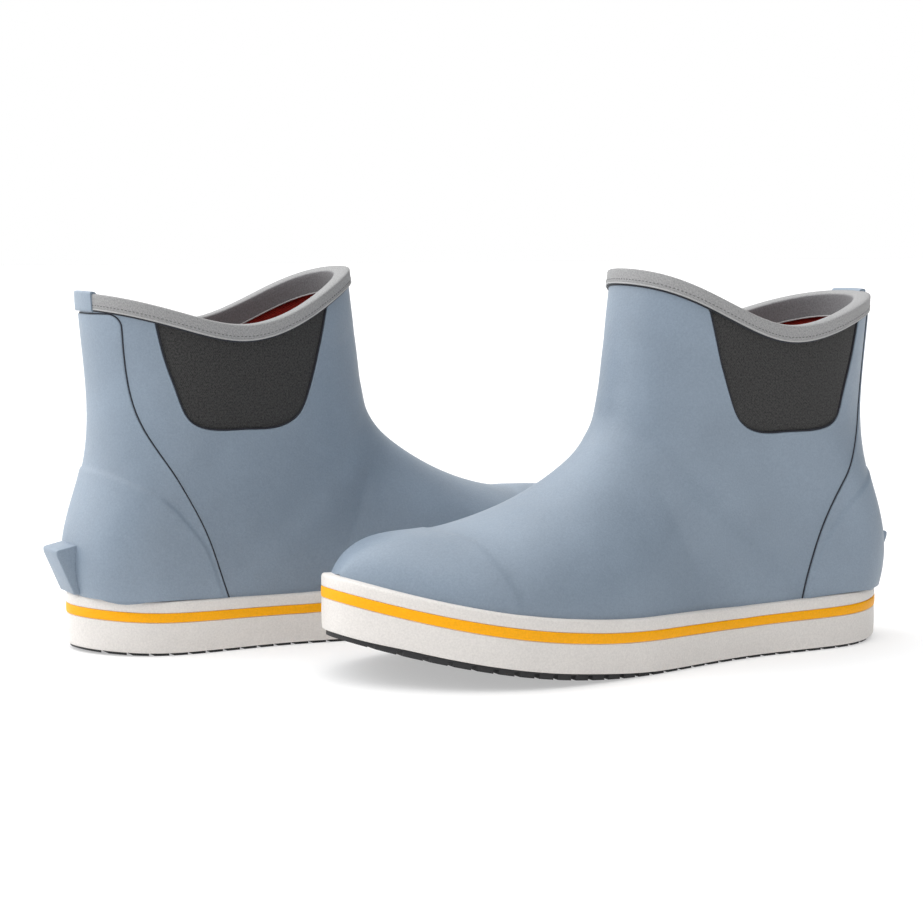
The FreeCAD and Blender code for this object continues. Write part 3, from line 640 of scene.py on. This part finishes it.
def knit(name, dark, light, rib, roughness=0.85, speckle=1.5, sheen=0.2, depth=0.35, inner_painted_shade=False,
         spread=0.2):
    """Stretch knit: fine ribs and cross loops along the piece's own cloth coordinates; it can also darken
    towards the cloth's third value, as painted shade.
    """
    made, tree, principled = shader(name, light, roughness, Sheen_Weight=sheen, Sheen_Roughness=0.5)
    cloth = attribute(tree, "cloth")
    split = add(tree, "ShaderNodeSeparateXYZ")
    tree.links.new(cloth, split.inputs[0])
    turn = 2 * math.pi / rib
    across = math_node(tree, "SINE", math_node(tree, "MULTIPLY", split.outputs[0], turn))
    along = math_node(tree, "SINE", math_node(tree, "MULTIPLY", split.outputs[1], turn * 1.3))
    product = math_node(tree, "MULTIPLY", across, along)
    loops = math_node(tree, "ADD", math_node(tree, "MULTIPLY", product, 0.5), 0.5)
    speck = noise(tree, cloth, speckle, 3.0, 0.7)
    from_loops = math_node(tree, "MULTIPLY", loops, 0.35)
    value = math_node(tree, "ADD", from_loops, math_node(tree, "MULTIPLY", speck, 0.75))
    colour = ramp(tree, value, (0.53 - spread, dark), (0.53 + spread, light))
    if inner_painted_shade:
        # painted shade: the colour is darkened by the cloth's third value, which marks the inner leg of a
        # collar strip
        shade = ramp(tree, split.outputs[2], (0.0, (1.0, 1.0, 1.0)), (1.0, (0.55, 0.55, 0.57)))
        colour = mix(tree, 1.0, colour, shade, "MULTIPLY")
    tree.links.new(colour, principled.inputs["Base Color"])
    bumps(tree, principled, (loops, depth, 0.6), (speck, 0.2, 0.4))
    return made


def foam(name, colour, roughness=0.8):
    made, tree, principled = shader(name, colour, roughness)
    where = millimetres(tree)
    cells = add(tree, "ShaderNodeTexVoronoi", Scale=0.9)
    tree.links.new(where, cells.inputs["Vector"])
    tone = ramp(tree, cells.outputs["Distance"], (0.0, scaled(colour, 0.75)), (0.6, colour))
    tree.links.new(tone, principled.inputs["Base Color"])
    bumps(tree, principled, (cells.outputs["Distance"], 0.25, 0.5))
    return made


BLUE = (0.222, 0.278, 0.346)
SHELL = rubber("shell_rubber", BLUE, 0.46)
OVERLAY_RUBBER = rubber("overlay_rubber", scaled(BLUE, 1.03), 0.46)
FOXING = rubber("foxing_rubber", (0.72, 0.69, 0.66), 0.5, grain=0.5, mottle=0.03)
STRIPE = rubber("stripe_rubber", (0.96, 0.42, 0.003), 0.5, grain=0.4, mottle=0.03, specular=0.2)
TREAD = rubber("tread_rubber", (0.018, 0.018, 0.02), 0.62, grain=1.4, mottle=0.25)
# dark rubber for the thin tubes that paint shadow lines: in the gore opening, along the overlay's edge and
# under the binding
PAINTED_SHADOW = rubber("dark_edge", (0.012, 0.014, 0.022), 0.6, grain=0.5, mottle=0.1)
GORE_KNIT = knit("gore_knit", (0.003, 0.003, 0.0035), (0.058, 0.057, 0.056),
                 0.9, speckle=1.1, sheen=0.03, spread=0.09)
# binding tape, with painted shade darkening its inner leg inside the collar
TAPE = knit("binding_tape", (0.20, 0.20, 0.20), (0.42, 0.42, 0.425), 0.8, speckle=1.2,
            depth=0.2, sheen=0.1, inner_painted_shade=True)
PIPING = rubber("binding_piping", (0.42, 0.42, 0.42), 0.7, grain=0.5)
THREAD = rubber("stitch_thread", (0.12, 0.12, 0.125), 0.7, grain=0.5)
LINING = knit("lining_fabric", (0.17, 0.006, 0.003), (0.42, 0.022, 0.009), 1.6, speckle=0.8, sheen=0.05)
COVER = knit("footbed_cover", (0.02, 0.02, 0.022), (0.075, 0.075, 0.08), 1.8, speckle=0.9, sheen=0.3)
MIDSOLE = foam("midsole_foam", (0.55, 0.54, 0.5))
BOARD = foam("board", (0.33, 0.27, 0.18), 0.9)
STIFFENER = foam("stiffener", (0.16, 0.16, 0.17), 0.7)


def steel(name):
    made, tree, principled = shader(name, (0.45, 0.45, 0.46), 0.35, Metallic=1.0)
    where = millimetres(tree, (0.15, 4.0, 4.0))
    brushed = noise(tree, where, 1.0, 3.0, 0.6)
    tone = ramp(tree, brushed, (0.3, (0.36, 0.36, 0.37)), (0.7, (0.52, 0.52, 0.53)))
    tree.links.new(tone, principled.inputs["Base Color"])
    bumps(tree, principled, (brushed, 0.05, 0.3))
    return made


STEEL = steel("shank_steel")
for side in ("left", "right"):
    for node, finish in (("outsole", TREAD), ("midsole", MIDSOLE), ("shank", STEEL),
                         ("insole_board", BOARD), ("toe_puff", STIFFENER), ("heel_counter", STIFFENER)):
        data = frame["nodes"][f"{side}_{node}"].data
        data.materials.clear()
        data.materials.append(finish)


# ---------------------------------------------------------------- the upper

def side_gap(x, z, line):
    """How far in front of a rising side-view line each point lies."""
    run = curve_through(line, 200)
    order = np.argsort(run[:, 1])
    return x - np.interp(z, run[order, 1], run[order, 0])


def shell_relief(points):
    """Moulded detail of the shell, in millimetres outwards."""
    x, y, z = points[..., 0], points[..., 1], points[..., 2]
    cap = 0.75 * smooth_step(side_gap(x, z, TOE_CAP) / 4.5 + 0.5) * smooth_step((x - 215) / 10)
    near = smooth_step((z - 36) / 12) * smooth_step((92 - z) / 14) * (y > 0)
    crease = -0.5 * np.exp(-(side_gap(x, z, OUTER_CREASE) / 4.0) ** 2) * near
    return cap + crease


def wall_shape(grid, floor):
    """A grid's faces, flat on a level above the sole, without the flat floor."""
    rows, columns = grid.shape[:2]
    points = grid.reshape(-1, 3).copy()
    level = sole_height(points[:, 0]) + floor
    sunk = points[:, 2] < level
    points[:, 2] = np.where(sunk, level, points[:, 2])
    faces = [face for face in quads(rows, columns, True, FLIPPED) if not sunk[list(face)].all()]
    used = np.unique(np.array(faces))
    number = np.full(len(points), -1)
    number[used] = np.arange(len(used))
    return points[used], [tuple(number[i] for i in face) for face in faces]


def gore_outline():
    """The gore opening's edge seen from the side, from the collar down and up again."""
    return curve_through(GORE, 161)


def prism(edge, near, far):
    """A straight-sided cutter between two distances from the centre line."""
    count = len(edge)
    points = [(x, near, z) for x, z in edge] + [(x, far, z) for x, z in edge]
    faces = [tuple(range(count)), tuple(range(2 * count - 1, count - 1, -1))]
    for i in range(count):
        j = (i + 1) % count
        faces.append((i, i + count, j + count, j))
    return points, faces


def make_shell():
    relief = shell_relief(SKIN)
    relieved = SKIN + SKIN_NORMALS * relief[..., None]
    grid = up_to_collar(relieved, BINDING_THICK + BINDING_GAP, 150, 60)
    points, faces = wall_shape(grid, SHELL_FOOT)
    edge = gore_outline()
    edge = np.concatenate([edge, [(edge[-1, 0], 200.0), (edge[0, 0], 200.0)]])
    cutters = []
    for near, far in ((8.0, 85.0), (-85.0, -8.0)):
        cutter = bpy.data.objects.new("cutter", mesh_of("cutter", *prism(edge, near, far), False))
        bpy.context.scene.collection.objects.link(cutter)
        cutters.append(cutter)
    thicken = ("SOLIDIFY", {"thickness": SHELL_WALL, "offset": -1.0})
    cuts = [("BOOLEAN", {"operation": "DIFFERENCE", "solver": "EXACT", "object": c}) for c in cutters]
    shape = evaluated(points, faces, thicken, *cuts)
    for cutter in cutters:
        bpy.data.objects.remove(cutter)
    return shape


piece("shell_upper", make_shell(), SHELL, ["shell"], sharp=38.0)


def gore_patch():
    """Side-view points that fill the gore opening, in rows up to the collar."""
    edge = curve_through(GORE, 400)
    low_left = np.argmin(np.abs(edge - [50.0, 109.6]).sum(axis=1))
    low_right = np.argmin(np.abs(edge - [104.0, 111.0]).sum(axis=1))
    top = np.stack([np.linspace(edge[0, 0], edge[-1, 0], 200)] * 2, axis=1)
    top[:, 1] = collar(top[:, 0]) - 2.2
    sides = {
        "left": np.concatenate([edge[:low_left + 1][::-1], [[edge[0, 0], top[0, 1]]]]),
        "bottom": edge[low_left:low_right + 1],
        "right": np.concatenate([edge[low_right:], [[edge[-1, 0], top[-1, 1]]]]),
        "top": top,
    }
    across, up = 73, 61
    left, right = (spaced(sides[k], up) for k in ("left", "right"))
    bottom, upper = (spaced(sides[k], across) for k in ("bottom", "top"))
    s = np.linspace(0, 1, across)[None, :, None]
    t = np.linspace(0, 1, up)[:, None, None]
    flat = (1 - s) * left[:, None] + s * right[:, None] + (1 - t) * bottom[None] + t * upper[None]
    flat -= (1 - t) * ((1 - s) * left[0] + s * right[0])
    flat -= t * ((1 - s) * left[-1] + s * right[-1])
    return flat


def spaced(path, count):
    path = np.asarray(path, float)
    run = np.concatenate([[0], np.cumsum(np.linalg.norm(np.diff(path, axis=0), axis=1))])
    at = np.linspace(0, run[-1], count)
    return np.stack([np.interp(at, run, path[:, k]) for k in range(path.shape[1])], axis=1)


def make_gore(side):
    flat = gore_patch()
    up, across = flat.shape[:2]
    spots, normals = on_side(flat.reshape(-1, 2), side)
    s = np.linspace(-1, 1, across)[None] * np.ones((up, 1))
    t = np.linspace(0, 1, up)[:, None] * np.ones((1, across))
    rim = np.minimum(1 - np.abs(s), t * 0.7) * 40.0
    depth = 1.25 - 0.75 * smooth_step(rim / 5.0)
    front = spots - normals * depth.reshape(-1, 1)
    back = spots - normals * GORE_DEPTH
    count = up * across
    faces = quads(up, across, False, side < 0)
    faces += [tuple(i + count for i in face)[::-1] for face in faces]
    ring = ([c for c in range(across)] + [r * across + across - 1 for r in range(1, up)]
            + [(up - 1) * across + c for c in range(across - 2, -1, -1)]
            + [r * across for r in range(up - 2, 0, -1)])
    for a, b in zip(ring, ring[1:] + ring[:1]):
        face = (b, a, a + count, b + count)
        faces.append(face if side > 0 else face[::-1])
    cloth = np.concatenate([flat.reshape(-1, 2), np.zeros((count, 1))], axis=1)
    cloth = np.concatenate([cloth, cloth])
    return Shape(np.concatenate([front, back]), [f[::-1] for f in faces], cloth=cloth)


def make_gore_trim(side):
    """The rolled rubber lip round the opening, and a dark tube just inside it, painted shadow along the
    opening's edge.
    """
    edge = gore_outline()
    inside = edge[edge[:, 1] < collar(edge[:, 0]) - 3.0]
    path = even(inside, 1.0)
    spots, normals = on_side(path, side)
    lip = tube(spots - normals * 0.35, 0.5, 10, facing=normals)
    middle = path.mean(axis=0)
    towards = np.gradient(path, axis=0)
    towards = np.stack([-towards[:, 1], towards[:, 0]], axis=1)
    towards /= np.linalg.norm(towards, axis=1)[:, None]
    towards[((middle - path) * towards).sum(axis=1) < 0] *= -1
    inner, inner_normals = on_side(path + towards * 0.85, side)
    # painted shadow: a dark tube just inside the opening, standing for the shadow gap between the shell's
    # edge and the gore
    gore_shadow = tube(inner - inner_normals * 0.75, 0.5, 8, facing=inner_normals)
    return lip, gore_shadow


for side, label in ((1, "outer"), (-1, "inner")):
    piece(f"{label}_gore_panel", make_gore(side), GORE_KNIT, [f"{label}_gore"])
    lip, gore_shadow = make_gore_trim(side)
    piece(f"{label}_gore_lip", lip, SHELL)
    # dark tube of painted shadow round the gore opening
    piece(f"{label}_gore_welt", gore_shadow, PAINTED_SHADOW)


# ---------------------------------------------------------------- heel overlay

def overlay_edge():
    """The overlay's front edge (x by height), from the foxing to its rounded top corner."""
    run = curve_through(OVERLAY, 300)
    order = np.argsort(run[:, 1])
    return lambda z: np.interp(z, run[order, 1], run[order, 0])


OVERLAY_X = overlay_edge()
PIVOT = 60.0
OVERLAY_FOOT = 25.6
FOXING_RISE = 2.6


def overlay_point(x, z, side):
    """Point and normal of the skin at a side-view place."""
    return on_side(np.stack([np.atleast_1d(x), np.atleast_1d(z)], axis=1), side)


def make_overlay():
    levels, columns = 110, 170
    corner_foot, corner_rise, corner_levels = 157.0, 6.0, 12
    turn = np.linspace(0.1, 1, corner_levels) * math.pi / 2
    heights = np.concatenate([np.linspace(OVERLAY_FOOT, corner_foot, levels - corner_levels),
                              corner_foot + corner_rise * np.sin(turn)])
    corner = np.clip((heights - corner_foot) / corner_rise, 0, 1)
    front = OVERLAY_X(heights) - 5.0 * (1 - np.sqrt(1 - corner ** 2))
    rows, facing, across = [], [], []
    ends = {side: overlay_point(front, heights, side)[0] for side in (1, -1)}
    for n, z in enumerate(heights):
        first = math.atan2(ends[1][n, 1], ends[1][n, 0] - PIVOT)
        last = math.atan2(ends[-1][n, 1], ends[-1][n, 0] - PIVOT) + 2 * math.pi
        angles = np.linspace(first, last, columns)
        directions = np.stack([np.cos(angles), np.sin(angles), np.zeros(columns)], axis=1)
        start = np.tile([PIVOT, 0.0, z], (columns, 1))
        if not rows:
            back = np.interp(cast(start, directions)[0][:, 0], [0.0, 69.0], [1.0, 0.0])
        start[:, 2] += FOXING_RISE * back * (heights[-1] - z) / (heights[-1] - heights[0])
        spots, normals = cast(start, directions)
        normals[(normals * directions).sum(axis=1) < 0] *= -1
        rows.append(spots)
        facing.append(normals)
        run = np.concatenate([[0], np.cumsum(np.linalg.norm(np.diff(spots, axis=0), axis=1))])
        across.append(np.minimum(run, run[-1] - run))
    rows, facing, across = np.array(rows), np.array(facing), np.array(across)
    top = (heights[-1] - heights)[:, None] * np.ones(columns)
    rim = np.minimum(across, top)
    round_off = np.sqrt(np.clip(1 - (1 - np.clip(rim / 0.8, 0, 1)) ** 2, 0, 1))
    arc = np.array(curve_through(HEEL_ARC, 200))
    x, z = rows[..., 0], rows[..., 2]
    order = np.argsort(arc[:, 0])
    above = z - np.interp(x, arc[order, 0], arc[order, 1])
    slope = np.gradient(arc[order, 1], arc[order, 0])
    level = np.interp(x, arc[order, 0], slope)
    gap = above / np.sqrt(1 + level ** 2)
    emboss = 0.85 * smooth_step(0.5 - gap / 2.2)
    lift = -0.25 + (1.15 + emboss) * round_off
    outer = rows + facing * lift[..., None]
    inner = rows - facing * 0.35
    count = levels * columns
    faces = quads(levels, columns, False, False)
    faces += [tuple(i + count for i in face)[::-1] for face in faces]
    ring = ([c for c in range(columns)] + [r * columns + columns - 1 for r in range(1, levels)]
            + [(levels - 1) * columns + c for c in range(columns - 2, -1, -1)]
            + [r * columns for r in range(levels - 2, 0, -1)])
    for a, b in zip(ring, ring[1:] + ring[:1]):
        faces.append((b, a, a + count, b + count))
    shape = Shape(np.concatenate([outer, inner]).reshape(-1, 3), faces)
    rim_line = [np.concatenate([rows[:, 0], rows[-1, 1:-1], rows[::-1, -1]]),
            np.concatenate([facing[:, 0], facing[-1, 1:-1], facing[::-1, -1]])]
    return shape, rim_line


overlay_shape, (rim_path, rim_facing) = make_overlay()
piece("heel_overlay_panel", overlay_shape, OVERLAY_RUBBER, ["heel_overlay"])
# painted shadow: a thin dark tube along the overlay's edge, standing for the shadow the overlay's edge casts
# on the shell
rim_line = even(np.concatenate([rim_path, rim_facing], axis=1), 1.0)
piece("overlay_edge_shadow", tube(rim_line[:, :3] + rim_line[:, 3:] * 0.02, 0.42, 8, facing=rim_line[:, 3:]),
      PAINTED_SHADOW)


# ---------------------------------------------------------------- collar

def collar_line(inset, drop):
    grid = UPPER.grid(inset)
    return take(grid, collar_rows(grid, drop)[None])[0]


def open_at_back(loop):
    """A loop of the section started at the back and closed by repeating its first point."""
    return np.concatenate([loop[HALF_COLUMNS:], loop[:HALF_COLUMNS + 1]])


def wrap_profile(out, inside, tall, crown, lift, inner_tall, legs=5):
    """Steps round a folded strip: (inset, drop) from its outer to its inner lower edge."""
    steps = [(out + 1.0, tall + 0.0), (out + 0.35, tall - 0.02), (out, tall - 0.45)]
    steps += [(out, d) for d in np.linspace(tall - 1.2, crown + lift, legs)]
    angles = np.linspace(0, math.pi, 13)[1:-1]
    middle, half = (out + inside) / 2, (inside - out) / 2
    steps += [(middle - half * math.copysign(abs(math.cos(a)) ** 0.8, math.cos(a)),
               lift + crown * (1 - math.sin(a) ** 0.8)) for a in angles]
    steps += [(inside, d) for d in np.linspace(crown + lift, inner_tall - 1.2, legs)]
    steps += [(inside, inner_tall - 0.45), (inside - 0.35, inner_tall - 0.02), (inside - 1.0, inner_tall)]
    return steps


def folded(steps, out, inside, columns=None):
    """A strip that follows the collar, its profile given as (inset, drop) steps."""
    rows = []
    for inset, drop in steps:
        share = (inset - out) / (inside - out)
        outer = collar_line(out, drop)
        inner = collar_line(inside, drop)
        rows.append(open_at_back(outer + (inner - outer) * share))
    grid = np.array(rows)
    if columns is not None:
        grid = grid[:, columns]
    return grid


def strip_shape(grid, close_ends=False):
    rows, columns = grid.shape[:2]
    along = np.concatenate([[0], np.cumsum(np.linalg.norm(np.diff(grid[rows // 3], axis=0), axis=1))])
    up = np.cumsum(np.concatenate([[0], np.linalg.norm(np.diff(grid[:, columns // 2], axis=0), axis=1)]))
    cloth = np.zeros((rows, columns, 3))
    cloth[..., 0] = along[None]
    cloth[..., 1] = up[:, None]
    # third cloth value: 0 on the outer leg, rising to 1 over the inner leg; the tape's colour uses it as
    # painted shade inside the collar
    cloth[..., 2] = smooth_step((np.arange(rows) / rows - 0.6) * 8)[:, None]
    faces = quads(rows, columns, False, FLIPPED)
    for c in range(columns - 1):
        face = (c, c + 1, (rows - 1) * columns + c + 1, (rows - 1) * columns + c)
        faces.append(face[::-1] if not FLIPPED else face)
    if close_ends:
        first = [r * columns for r in range(rows)]
        last = [r * columns + columns - 1 for r in range(rows)]
        faces.append(tuple(first if FLIPPED else first[::-1]))
        faces.append(tuple(last[::-1] if FLIPPED else last))
    return Shape(grid.reshape(-1, 3), faces, cloth=cloth.reshape(-1, 3))


OUT = -(BINDING_GAP + BINDING_THICK)
INSIDE = LINING_IN + BINDING_GAP + BINDING_THICK
binding = folded(wrap_profile(OUT, INSIDE, BINDING_TALL, 1.3, 0.0, FACING_TALL), OUT, INSIDE)
piece("binding_tape", strip_shape(binding), TAPE, ["collar_binding"])


def facing_out():
    """Directions away from the leg's middle for points of the collar."""
    outer, inner = open_at_back(collar_line(-1.0, 4.0)), open_at_back(collar_line(1.0, 4.0))
    out = outer - inner
    return out / np.linalg.norm(out, axis=1)[:, None]


OUTWARDS = facing_out()
low_edge = open_at_back(collar_line(OUT, BINDING_TALL + 0.1))
piping = even(np.concatenate([low_edge, OUTWARDS], axis=1)[:-1], 1.2, True)
piece("binding_piping", tube(piping[:, :3] - piping[:, 3:] * 0.25, 0.42, 8, True, facing=piping[:, 3:]),
      PIPING)
low_inside = open_at_back(collar_line(INSIDE, FACING_TALL + 0.1))
inner_piping = even(np.concatenate([low_inside, OUTWARDS], axis=1)[:-1], 1.2, True)
piece("binding_inner_piping", tube(inner_piping[:, :3], 0.4, 8, True, facing=inner_piping[:, 3:]),
      PIPING)
dark_edge = open_at_back(collar_line(-0.35, BINDING_TALL + 0.75))
dark = even(np.concatenate([dark_edge, OUTWARDS], axis=1)[:-1], 1.2, True)
piece("binding_shadow_line", tube(dark[:, :3] - dark[:, 3:] * 0.1, 0.5, 8, True, facing=dark[:, 3:]),
      PAINTED_SHADOW)
stitch_line = open_at_back(collar_line(OUT, BINDING_TALL - 1.7))
piece("binding_stitches", stitches(stitch_line[:-1], OUTWARDS[:-1], 2.0, 1.25, 0.2, True),
      THREAD)

back = np.where((np.abs(binding[6, :, 1]) < 12.2) & (binding[6, :, 0] < 60))[0]
before = back[(back > HALF_COLUMNS) & (back < 2 * HALF_COLUMNS)]
tab_columns = np.concatenate([before, back[back <= HALF_COLUMNS] + 2 * HALF_COLUMNS])
TAB_OUT = OUT - 0.8
TAB_INSIDE = 1.2
tab_grid = folded(wrap_profile(TAB_OUT, TAB_INSIDE, 9.0, 1.5, -0.75, 2.6), TAB_OUT, TAB_INSIDE)
tab_grid = np.concatenate([tab_grid[:, :-1], tab_grid], axis=1)[:, tab_columns]
piece("back_tab_strip", strip_shape(tab_grid, True), OVERLAY_RUBBER, ["back_tab"])


# ---------------------------------------------------------------- lining and footbed

def make_lining():
    grid = up_to_collar(UPPER.grid(LINING_IN), 1.6, 90, 40)
    points, faces = wall_shape(grid[:, ::2], LINING_FOOT)
    thicken = ("SOLIDIFY", {"thickness": LINING_IN - LINING_OUT, "offset": 1.0})
    shape = evaluated(points, faces, thicken)
    cloth = shape.points.copy()
    angle = np.arctan2(cloth[:, 1], cloth[:, 0] - 80.0)
    shape.values["cloth"] = np.stack([angle * 55.0, cloth[:, 2], cloth[:, 0]], axis=1)
    return shape


piece("lining_sock", make_lining(), LINING, ["lining"])


def inset_plan(amount, count):
    """The sole's outline moved inwards, as many points as asked."""
    plan = outline(count)
    along = np.roll(plan, -1, axis=0) - np.roll(plan, 1, axis=0)
    normal = np.stack([along[:, 1], -along[:, 0]], axis=1)
    normal /= np.linalg.norm(normal, axis=1)[:, None]
    middle = plan.mean(axis=0)
    if ((plan - middle) * normal).sum() < 0:
        normal = -normal
    return plan - normal * np.asarray(amount).reshape(-1, 1), normal


def make_footbed():
    """Moulded foam insole: rounded rim, dished heel and a raised arch."""
    count, rings = 240, 26
    edge, _ = inset_plan(FOOTBED_INSET, count)
    spine = np.stack([np.clip(edge[:, 0], 48.0, 244.0), np.zeros(count)], axis=1)
    rows = []
    for n in range(rings):
        share = SPINE_SHARE + (1 - SPINE_SHARE) * n / (rings - 1)
        flat = spine + (edge - spine) * share
        rim = np.clip((1 - share) * 34.0, 0, None)
        side = smooth_step(share)
        heel = smooth_step((70.0 - flat[:, 0]) / 55.0)
        arch = smooth_step(1 - np.abs(flat[:, 0] - 115.0) / 75.0) * smooth_step(-flat[:, 1] / 26.0)
        z = FOOTBED_TOP + heel * side + 0.9 * arch + 0.55 * side
        z -= 1.6 * (1 - math.sqrt(1 - (1 - min(rim / 1.8, 1.0)) ** 2))
        rows.append(np.stack([flat[:, 0], flat[:, 1], sole_height(flat[:, 0]) + z], axis=1))
    top = np.array(rows)
    under = top[::-1].copy()
    under[..., 2] = sole_height(under[..., 0]) + FOOTBED_FOOT
    grid = np.concatenate([top, under])
    points = grid.reshape(-1, 3)
    faces = quads(len(grid), count, True, False)
    faces += [tuple(range(count))[::-1], tuple(range(len(points) - count, len(points)))]
    cloth = np.stack([points[:, 0], points[:, 1], points[:, 2]], axis=1)
    return Shape(points, faces, cloth=cloth)


piece("footbed_pad", make_footbed(), COVER, ["footbed"], body="footbed")


# ---------------------------------------------------------------- foxing, stripe and kick tab

def shell_distance(plan, normal, height):
    """How far inside the outline the shell's skin lies at a height."""
    count = len(plan)
    start = np.stack([plan[:, 0] + 4 * normal[:, 0], plan[:, 1] + 4 * normal[:, 1], height], axis=1)
    inwards = np.stack([-normal[:, 0], -normal[:, 1], np.zeros(count)], axis=1)
    spots, _ = cast(start, inwards)
    return np.linalg.norm(spots[:, :2] - plan, axis=1)


def swept(profile, count):
    """A closed band round the sole; the profile gives (offset, height) rings."""
    plan, normal = inset_plan(0.0, count)
    rings = []
    for offset, height in profile:
        offset = np.broadcast_to(offset, count)
        flat = plan + normal * offset[:, None]
        rings.append(np.column_stack([flat, height]))
    grid = np.array(rings)
    faces = quads(len(grid), count, True, True)
    last = (len(grid) - 1) * count
    for c in range(count):
        d = (c + 1) % count
        faces.append((c, d, last + d, last + c))
    return Shape(grid.reshape(-1, 3), faces)


def make_foxing():
    count = 520
    plan, normal = inset_plan(0.0, count)
    floor = sole_height(plan[:, 0])
    tall = foxing_height(plan[:, 0])
    seat = -np.clip(shell_distance(plan, normal, floor + tall), 1.6, 6.0)
    bulge = [0.0, 0.12, 0.2, 0.22, 0.2, 0.12, 0.0]
    low, high = STRIPE_SHARES
    x = plan[:, 0]
    skirt = floor - 1.7 * smooth_step((205.0 - x) / 60.0) - smooth_step((x - 276.0) / 22.0)
    profile = [(-FOXING_WALL, floor), (-1.3, floor), (-1.1, skirt), (-0.45, skirt + 0.2),
               (-0.1, skirt + 0.7), (0.0, skirt + 1.4)]
    below, above = np.linspace(0.12, low - 0.012, 6), np.linspace(high + 0.012, 0.93, 3)
    profile += [(b * 0.6, floor + tall * s) for b, s in zip(bulge[1:], below)]
    profile += [(-0.35, floor + tall * low), (-0.35, floor + tall * high)]
    profile += [(b * 0.5, floor + tall * s) for b, s in zip(bulge[2:5], above)]
    profile += [(-0.05, floor + tall - 1.1), (-0.25, floor + tall - 0.5), (-0.7, floor + tall - 0.12),
                (-1.2, floor + tall), (seat - 0.3, floor + tall + 0.15), (seat - 0.4, floor + tall - 2.0),
                (-FOXING_WALL, floor + 9.0)]
    return swept(profile, count)


def make_stripe():
    count = 520
    plan, _ = inset_plan(0.0, count)
    floor = sole_height(plan[:, 0])
    tall = foxing_height(plan[:, 0])
    low, high = STRIPE_SHARES
    foot, head = floor + tall * low, floor + tall * high
    profile = [(-0.7, foot + 0.1), (0.0, foot + 0.1), (0.2, foot + 0.3),
               (0.3, floor + tall * (low + 0.06)), (0.32, floor + tall * (low + high) / 2),
               (0.3, floor + tall * (high - 0.06)), (0.2, head - 0.3), (0.0, head - 0.1), (-0.7, head - 0.1)]
    return swept(profile, count)


piece("foxing_band", make_foxing(), FOXING, ["foxing"])
piece("foxing_stripe_band", make_stripe(), STRIPE, ["foxing_stripe"])


def make_kick_tab():
    """A sharp-edged ledge at the back of the heel."""
    half = 10.0
    outline_points = [(7.0, 53.6), (-8.6, 50.4), (-9.4, 49.6), (-9.2, 47.6), (-0.8, 28.3), (7.0, 28.3)]
    points = [(x, y, z) for y in (-half, half) for x, z in outline_points]
    count = len(outline_points)
    faces = [tuple(range(count)), tuple(range(2 * count - 1, count - 1, -1))]
    for i in range(count):
        j = (i + 1) % count
        faces.append((j, i, i + count, j + count))
    return evaluated(points, faces,
                     ("BEVEL", {"width": 0.7, "segments": 3, "limit_method": "ANGLE", "angle_limit": 0.5}))


piece("kick_tab_ledge", make_kick_tab(), OVERLAY_RUBBER, ["kick_tab"], sharp=50.0)


# ---------------------------------------------------------------- floor, light and camera

def floor():
    side = 12.0
    mesh = bpy.data.meshes.new("studio_floor")
    corners = [(-side, -side, 0), (side, -side, 0), (side, side, 0), (-side, side, 0)]
    mesh.from_pydata(corners, [], [(0, 1, 2, 3)])
    made, _, _ = shader("studio_floor", (0.6, 0.6, 0.6), 0.8, Specular_IOR_Level=0.2,
                        Emission_Color=(1.0, 1.0, 1.0, 1.0), Emission_Strength=0.42)
    mesh.materials.append(made)
    item = bpy.data.objects.new("studio_floor", mesh)
    bpy.context.scene.collection.objects.link(item)


def world():
    """A white room: brightest over the left shoulder, with a dark side to the right."""
    made = bpy.data.worlds.new("studio")
    made.use_nodes = True
    tree = made.node_tree
    around = add(tree, "ShaderNodeTexCoord").outputs["Generated"]

    def towards(direction, *stops):
        facing = Vector(direction).normalized()
        dot = add(tree, "ShaderNodeVectorMath", operation="DOT_PRODUCT")
        tree.links.new(around, dot.inputs[0])
        dot.inputs[1].default_value = facing
        return ramp(tree, dot.outputs["Value"], *((place, (grey,) * 3) for place, grey in stops))

    strength = math_node(tree, "ADD", 1.0, math_node(tree, "MULTIPLY", towards(*KEY), KEY_LEVEL))
    strength = math_node(tree, "ADD", strength, math_node(tree, "MULTIPLY", towards(*FILL), FILL_LEVEL))
    for flag in FLAGS:
        strength = math_node(tree, "MULTIPLY", strength, towards(*flag))
    background = tree.nodes["Background"]
    background.inputs["Color"].default_value = (1.0, 1.0, 1.0, 1.0)
    tree.links.new(strength, background.inputs["Strength"])
    bpy.context.scene.world = made


# A direction, then how much light there is at each nearness to it.
KEY = ((-0.55, 0.3, 0.75), (0.4, 0.0), (0.95, 1.0))
KEY_LEVEL = 2.1
FILL = ((0.1, -0.97, 0.2), (0.7, 0.0), (0.97, 1.0))
FILL_LEVEL = 0.9
FLAGS = (((0.9, -0.45, 0.0), (0.34, 1.0), (0.75, 0.05)), ((-0.75, -0.65, 0.1), (0.5, 1.0), (0.9, 0.12)))

floor()
world()

camera = bpy.data.cameras.new("camera")
camera.lens = 86.36
camera.sensor_width = 36.0
camera_item = bpy.data.objects.new("camera", camera)
camera_item.location = (-0.5397, -0.9489, 0.2014)
camera_item.rotation_mode = "QUATERNION"
camera_item.rotation_quaternion = Vector((0.486, 0.868, -0.1027)).to_track_quat("-Z", "Y")
bpy.context.scene.collection.objects.link(camera_item)
bpy.context.scene.camera = camera_item
bpy.context.scene.view_settings.view_transform = "Standard"
